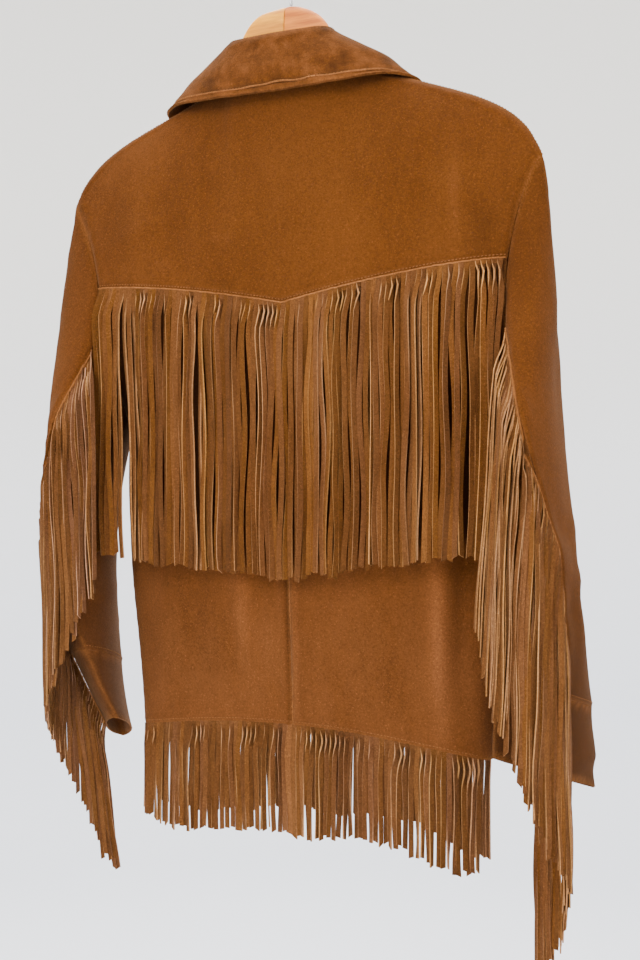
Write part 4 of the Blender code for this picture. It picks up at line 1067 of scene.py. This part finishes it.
# %% Stitch the back
edge_places = seat_under(spaced(yoke_seam(0.999), 0.0022), yoke_tree)
edge_outs = body_out(edge_places)
edge_places += edge_outs * 0.0012
edge_places[:, 2] += 0.0008 + rng.normal(0.0, 0.00015, len(edge_places))
yoke_edge = strip("yoke_raw_edge", edge_places, edge_outs, 0.0015, 0.0010)
ROW_HEIGHT = 0.0045        # how far above the hem its row of stitches runs
thread_back = thread_rows("thread_back", [
    beside(raised(yoke_seam(0.999), 0.0036), body_out, yoke_tree),
    beside(raised(hem_line(-0.95, 0.95, BACK_Y), ROW_HEIGHT), body_out, back_tree)])
middle = meeting_line("back_lower_left", "back_lower_right", body_out)
middle_places, middle_outs = beside(middle, body_out, back_tree, pitch=0.0030)
middle_places[:, 0] -= 0.0012 + 0.0005 * np.sin(middle_places[:, 2] * 60.0)
middle_edge = strip("centre_raw_edge", middle_places, middle_outs, 0.0016, 0.0014)

# %% Stitch the collar
COLLAR_EDGE = np.array([   # the collar's outer edge on the wearer's left, from the centre back
    (0.0, 0.0420, -0.1605), (0.0330, 0.0405, -0.1600), (0.0640, 0.0370, -0.1575),
    (0.0900, 0.0300, -0.1540), (0.1130, 0.0190, -0.1515), (0.1300, 0.0080, -0.1515),
    (0.1370, -0.0040, -0.1530), (0.1380, -0.0180, -0.1590), (0.1340, -0.0290, -0.1660),
    (0.1250, -0.0440, -0.1830), (0.1130, -0.0580, -0.2050), (0.0960, -0.0700, -0.2290),
    (0.0820, -0.0760, -0.2450)])
COLLAR_ROW, COLLAR_LIP = 0.0062, 0.0015    # how far in from the edge its row and its lip lie
full_edge = np.concatenate([COLLAR_EDGE[::-1] * (-1, 1, 1), COLLAR_EDGE[1:]])
full_edge[:, 0] += COLLAR_SHIFT
inward = unit(np.array((0.0, -0.015, -0.085)) - full_edge)


def collar_out(at):
    return unit(at - np.array((0.0, -0.02, -0.25)))


def collar_line(depth, pitch=STITCH_PITCH):
    return beside(full_edge + inward * depth, collar_out, tree_of("collar"), pitch=pitch)


at = points_of(collar)
from_row, from_edge = (np.array([tree.find(p)[2] for p in at]) for tree in (
    point_tree(collar_line(depth, 0.0015)[0]) for depth in (COLLAR_ROW, COLLAR_LIP)))
waver = 1.0 + 0.5 * np.sin(at[:, 0] * 120.0 + 0.7) + 0.3 * np.sin(at[:, 0] * 47.0)
lift = 0.0015 * np.exp(-(from_edge / 0.0034) ** 2) - 0.0020 * np.exp(-(from_row / 0.0020) ** 2)
lift += 0.0008 * waver * np.exp(-((from_row - 0.0055) / 0.0030) ** 2)
lift += 0.0012 * waver * np.exp(-((from_edge - 0.026) / 0.012) ** 2)
set_points(collar, at + collar_out(at) * lift[:, None])
# Painted light on the collar: painted shade along the stitched groove, and painted highlights on the
# ridge beside it and on the rolled edge.
groove_shade_and_ridge_light = 1.0 - 0.42 * np.exp(-((from_row - 0.0006) / 0.0013) ** 2)
groove_shade_and_ridge_light += 0.22 * np.exp(-((from_row - 0.0040) / 0.0016) ** 2)
groove_shade_and_ridge_light += 0.15 * np.exp(-(from_edge / 0.004) ** 2)
shades = collar.data.attributes["nap_and_painted_light_tone"].data
tones = np.empty((len(at), 4), dtype=np.float32)
shades.foreach_get("color", tones.ravel())
tones[:, :3] *= groove_shade_and_ridge_light[:, None]
shades.foreach_set("color", tones.ravel())
row_places, row_outs = collar_line(COLLAR_ROW)
welt_places, welt_outs = collar_line(COLLAR_ROW, 0.0030)
welt_places[1:-1] = (welt_places[:-2] + welt_places[1:-1] + welt_places[2:]) / 3
collar_welt = strip("collar_welt", welt_places, welt_outs, 0.0019, 0.0012)
thread_collar = thread_rows("thread_collar", [(row_places + row_outs * 0.0009, row_outs)])

# %% Stitch the fronts and the shoulders
front_rows = []
for side, centre_y, first, last in (("left", LEFT_Y, -0.07, 0.94), ("right", RIGHT_Y, -0.94, 0.07)):
    front, tree = "front_" + side, tree_of("front_" + side)
    hem = raised(hem_line(first, last, centre_y, 120), ROW_HEIGHT)
    shoulder = meeting_line(front, "back_yoke", body_out)
    side_seam = meeting_line(front, "back_lower_" + side, body_out)
    front_rows += [beside(hem, body_out, tree),
                   beside(shoulder, collar_out, back_tree, 0.0030),
                   beside(side_seam, body_out, tree, 0.0030)]
thread_front = thread_rows("thread_front", front_rows)

# %% Stitch the sleeves
sleeve_threads, sleeve_edges = {}, {}
for side, tree in sleeve_trees.items():
    places, outs = settled(spaced(sleeve_line(side), 0.0025), tree, sleeve_out)
    sleeve_edges[side] = strip("sleeve_raw_edge_" + side, places + outs * 0.0006, outs, 0.0022,
                               0.0012)
    seams = (meeting_line(part + side, "cuff_" + side, sleeve_out)
             for part in ("top_sleeve_", "under_sleeve_"))
    sleeve_threads[side] = thread_rows("thread_sleeve_" + side, [
        beside(raised(seam, 0.004), sleeve_out, tree) for seam in seams])

print("sheets:", len(shells))

# %% [markdown]
# ## The hanger
#
# The hanger is turned from pale wood in two halves joined at the middle, with a bent steel
# hook. Its packed halves have the right form in few faces, so smoother copies stand for
# them. Grain runs along each arm as long streaks of a stretched noise.

# %% Wood and steel
def wood(name, dark, light, lean):
    finish, tree, shader, place = new_finish(name, 0.45, 0.25, coat=0.05)
    shader.inputs["Coat Roughness"].default_value = 0.35
    streak = cloudy(tree, stretched(tree, place, (5.0, 60.0, 60.0), lean), 3.0, 6.0, 0.6)
    pore = cloudy(tree, stretched(tree, place, (60.0, 900.0, 900.0), lean), 1.0, 3.0, 0.6)
    grain = ranged(tree, streak, 0.35, 0.66)
    pores = times(tree, ranged(tree, pore, 0.56, 0.72), 0.35)
    colour = mixed(tree, pores, mixed(tree, grain, dark, light),
                   tuple(0.72 * c for c in dark[:3]) + (1.0,))
    tree.links.new(colour, shader.inputs["Base Color"])
    set_roughness(tree, shader, grain, 0.50, 0.36)
    set_bump(tree, shader, streak, 0.12, 0.0003)
    return finish


def steel():
    finish, tree, shader, place = new_finish("hook_steel", 0.28, 0.5, metallic=1.0)
    marks = cloudy(tree, stretched(tree, place, (900.0, 900.0, 60.0)), 1.0, 4.0)
    colour = mixed(tree, ranged(tree, marks, 0.3, 0.7), rgb(150, 150, 152), rgb(196, 196, 198))
    tree.links.new(colour, shader.inputs["Base Color"])
    set_roughness(tree, shader, marks, 0.18, 0.36)
    return finish


PALE_WOOD = wood("pale_wood", rgb(200, 122, 4), rgb(236, 160, 10), 0.45)
GRAINED_WOOD = wood("grained_wood", rgb(176, 88, 0), rgb(222, 128, 4), -0.45)
STEEL = steel()
print("wood and steel made")

# %% Smooth the hanger and its hook
for node, finish, slot in (("hanger_left", PALE_WOOD, "pale_wood"),
                           ("hanger_right", GRAINED_WOOD, "grained_wood"),
                           ("hanger_hook", STEEL, "steel")):
    piece = take_over(node, "smooth_" + node)
    crease_edges(piece, 75.0, 0.85)
    subdivide(piece, 2)
    if node != "hanger_hook":
        at = points_of(piece)
        wider = np.where(at[:, 0] > 0.0, 0.011, 0.002)
        top = smooth((at[:, 2] + 0.125) / 0.030)
        at[:, 0] += wider * smooth(np.abs(at[:, 0]) / 0.035) * top
        at[:, 2] += 0.0045 * np.exp(-((at[:, 0] - 0.034) / 0.017) ** 2) * top
        set_points(piece, at)
    piece.data.materials.append(finish)
    declare(piece, 50, node)
    print(piece.name, len(piece.data.polygons), "faces")

# %% [markdown]
# ## Buttons
#
# Horn buttons are turned discs with a dished face and four holes, sewn on through them.
# One is modelled, its holes are cut by a Boolean, and it is copied to each packed button's
# place and lean.

# %% Horn finish
HORN, horn_tree, horn_shader, horn_place = new_finish("button_horn", 0.3, 0.5, coat=0.3)
horn_band = ranged(horn_tree, cloudy(horn_tree, horn_place, 90.0, 5.0, distortion=1.6), 0.35,
                   0.65)
horn_tint = mixed(horn_tree, horn_band, rgb(46, 28, 16), rgb(122, 84, 48))
horn_tree.links.new(horn_tint, horn_shader.inputs["Base Color"])
set_roughness(horn_tree, horn_shader, horn_band, 0.22, 0.42)
print("horn made")

# %% Turn one button and copy it
BUTTON_NODES = ["button_%d" % k for k in range(1, 6)]


def button_place(node):
    """Centre, outward direction, radius and thickness of a packed button."""
    at = points_of(frame["nodes"][node])
    centre = (at.min(0) + at.max(0)) / 2
    _, _, ways = np.linalg.svd(at - at.mean(0), full_matrices=False)
    out = ways[2] * (1.0 if ways[2][1] < 0 else -1.0)
    reach = (at - centre) @ out
    flat = np.linalg.norm(at - centre - np.outer(reach, out), axis=1)
    return centre, out, flat.max(), reach.max() - reach.min()


def joined(pieces):
    only(pieces[0])
    for piece in pieces:
        piece.select_set(True)
    bpy.ops.object.join()
    return bpy.context.object


def one_button(radius, thick):
    bpy.ops.mesh.primitive_cylinder_add(vertices=40, radius=radius, depth=thick)
    disc = bpy.context.object
    with editing(disc, [face.normal.z > 0.9 for face in disc.data.polygons], "FACE"):
        bpy.ops.mesh.inset(thickness=radius * 0.20)
        bpy.ops.mesh.inset(thickness=radius * 0.10)
        bpy.ops.transform.translate(value=(0, 0, -thick * 0.28))
    bevel = disc.modifiers.new("turned rim", "BEVEL")
    bevel.width, bevel.segments, bevel.limit_method = thick * 0.16, 3, "ANGLE"
    apply_all(disc)
    drills = []
    for a, b in ((1, 1), (1, -1), (-1, -1), (-1, 1)):
        bpy.ops.mesh.primitive_cylinder_add(
            vertices=12, radius=radius * 0.10, depth=thick * 3,
            location=(a * radius * 0.20, b * radius * 0.20, 0))
        drills.append(bpy.context.object)
    cutter = joined(drills)
    holes = disc.modifiers.new("sewing holes", "BOOLEAN")
    holes.object, holes.operation, holes.solver = cutter, "DIFFERENCE", "EXACT"
    apply_all(disc)
    bpy.data.objects.remove(cutter)
    disc.data.materials.append(HORN)
    bpy.ops.object.shade_smooth_by_angle(angle=math.radians(40))
    return disc


def one_sewing(radius):
    """Two crossed loops of thread over the middle of a button."""
    loops = []
    for turn in (45, -45):
        bpy.ops.mesh.primitive_torus_add(
            major_segments=20, minor_segments=6, major_radius=radius * 0.28,
            minor_radius=radius * 0.055, rotation=(math.radians(90), 0, math.radians(turn)))
        bpy.ops.object.transform_apply(location=True, rotation=True, scale=True)
        loops.append(bpy.context.object)
        set_points(loops[-1], points_of(loops[-1]) * (1.0, 1.0, 0.42))
    sewing = joined(loops)
    sewing.data.materials.append(THREAD)
    bpy.ops.object.shade_smooth()
    return sewing


_, _, button_radius, button_thick = button_place(BUTTON_NODES[0])
patterns = [one_button(button_radius, button_thick), one_sewing(button_radius)]
for node in BUTTON_NODES:
    centre, out, _, _ = button_place(node)
    turn = Vector(out).to_track_quat("Z", "Y").to_matrix().to_4x4()
    for pattern, kind, slot in zip(patterns, ("horn_", "sewing_"), ("horn", "fringe_suede")):
        only(pattern)
        bpy.ops.object.duplicate()
        piece = bpy.context.object
        piece.name = kind + node
        piece.data.transform(Matrix.Translation(Vector(centre)) @ turn)
        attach(piece, "root")
        if kind == "horn_":
            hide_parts(node)
for pattern in patterns:
    bpy.data.objects.remove(pattern)
print("buttons:", len(BUTTON_NODES))

# %% [markdown]
# ## The room and the light
#
# A plain pale room lets the suede's warm colour read. A round wall with a coved floor has
# no corner in any view. A soft key light stands above the camera and to its left, with a
# weak fill to its right. Two broad lights, on the far side and overhead, light the wall
# and the edges, as in a plain studio.

# %% Room and lights
ROOM_RADIUS, ROOM_HEIGHT, FLOOR = 3.3, 4.2, -1.85
bpy.ops.mesh.primitive_cylinder_add(vertices=96, radius=ROOM_RADIUS, depth=ROOM_HEIGHT,
                                    location=(0, 0, FLOOR + ROOM_HEIGHT / 2))
room = bpy.context.object
room.name = "pale_room"
with editing(room, [face.normal.z < -0.9 for face in room.data.polygons], "FACE"):
    bpy.ops.mesh.bevel(offset=0.5, segments=8, affect="EDGES")
    bpy.ops.mesh.select_all(action="SELECT")
    bpy.ops.mesh.normals_make_consistent(inside=True)
bpy.ops.object.transform_apply(location=True, rotation=True, scale=True)
bpy.ops.object.shade_smooth()
room_finish, tree, room_shader, place = new_finish("pale_plaster", 0.9, 0.1)
# Painted light: the wall is tinted cool near the floor and warm overhead.
height = put(tree, "ShaderNodeSeparateXYZ", {0: place}).outputs[2]
tint = mixed(tree, ranged(tree, height, -1.4, 0.3), rgb(240, 243, 250), rgb(250, 247, 240))
tint = mixed(tree, times(tree, cloudy(tree, place, 0.6, 2.0), 0.08), tint, rgb(238, 238, 242))
tree.links.new(tint, room_shader.inputs["Base Color"])
room.data.materials.append(room_finish)


eye = Vector(camera_place)
LIGHTS = (   # name, place, height of its aim, size, watts, tint
    ("key", eye - sight * 0.7 - rightward * 1.1 + Vector((0, 0, 1.35)), -0.45, 1.3, 48,
     (1.0, 0.985, 0.96)),
    ("side_fill", eye - sight * 0.2 + rightward * 1.5 + Vector((0, 0, 0.3)), -0.45, 1.4, 4,
     (1.0, 0.98, 0.95)),
    ("far_fill", sight * 1.9 + Vector((0, 0, 1.2)), -0.4, 2.2, 125, (1.0, 1.0, 1.0)),
    ("top", Vector((0.0, 0.2, 1.9)), -0.6, 2.4, 95, (1.0, 1.0, 1.0)))
for name, place, aim, size, watts, tint in LIGHTS:
    bpy.ops.object.light_add(type="AREA", location=place)
    light = bpy.context.object
    light.name, light.data.shape = name, "DISK"
    light.data.size, light.data.energy, light.data.color = size, watts, tint
    aimed = Vector((0.0, 0.0, aim)) - place
    light.rotation_euler = aimed.to_track_quat("-Z", "Y").to_euler()
world = bpy.data.worlds.new("studio_air")
bpy.context.scene.world = world
world.use_nodes = True
air = world.node_tree.nodes["Background"].inputs
air["Color"].default_value, air["Strength"].default_value = (0.9, 0.93, 1.0, 1.0), 0.55
print("lights:", [row[0] for row in LIGHTS])

# %% Finish
bpy.ops.object.select_all(action="DESELECT")
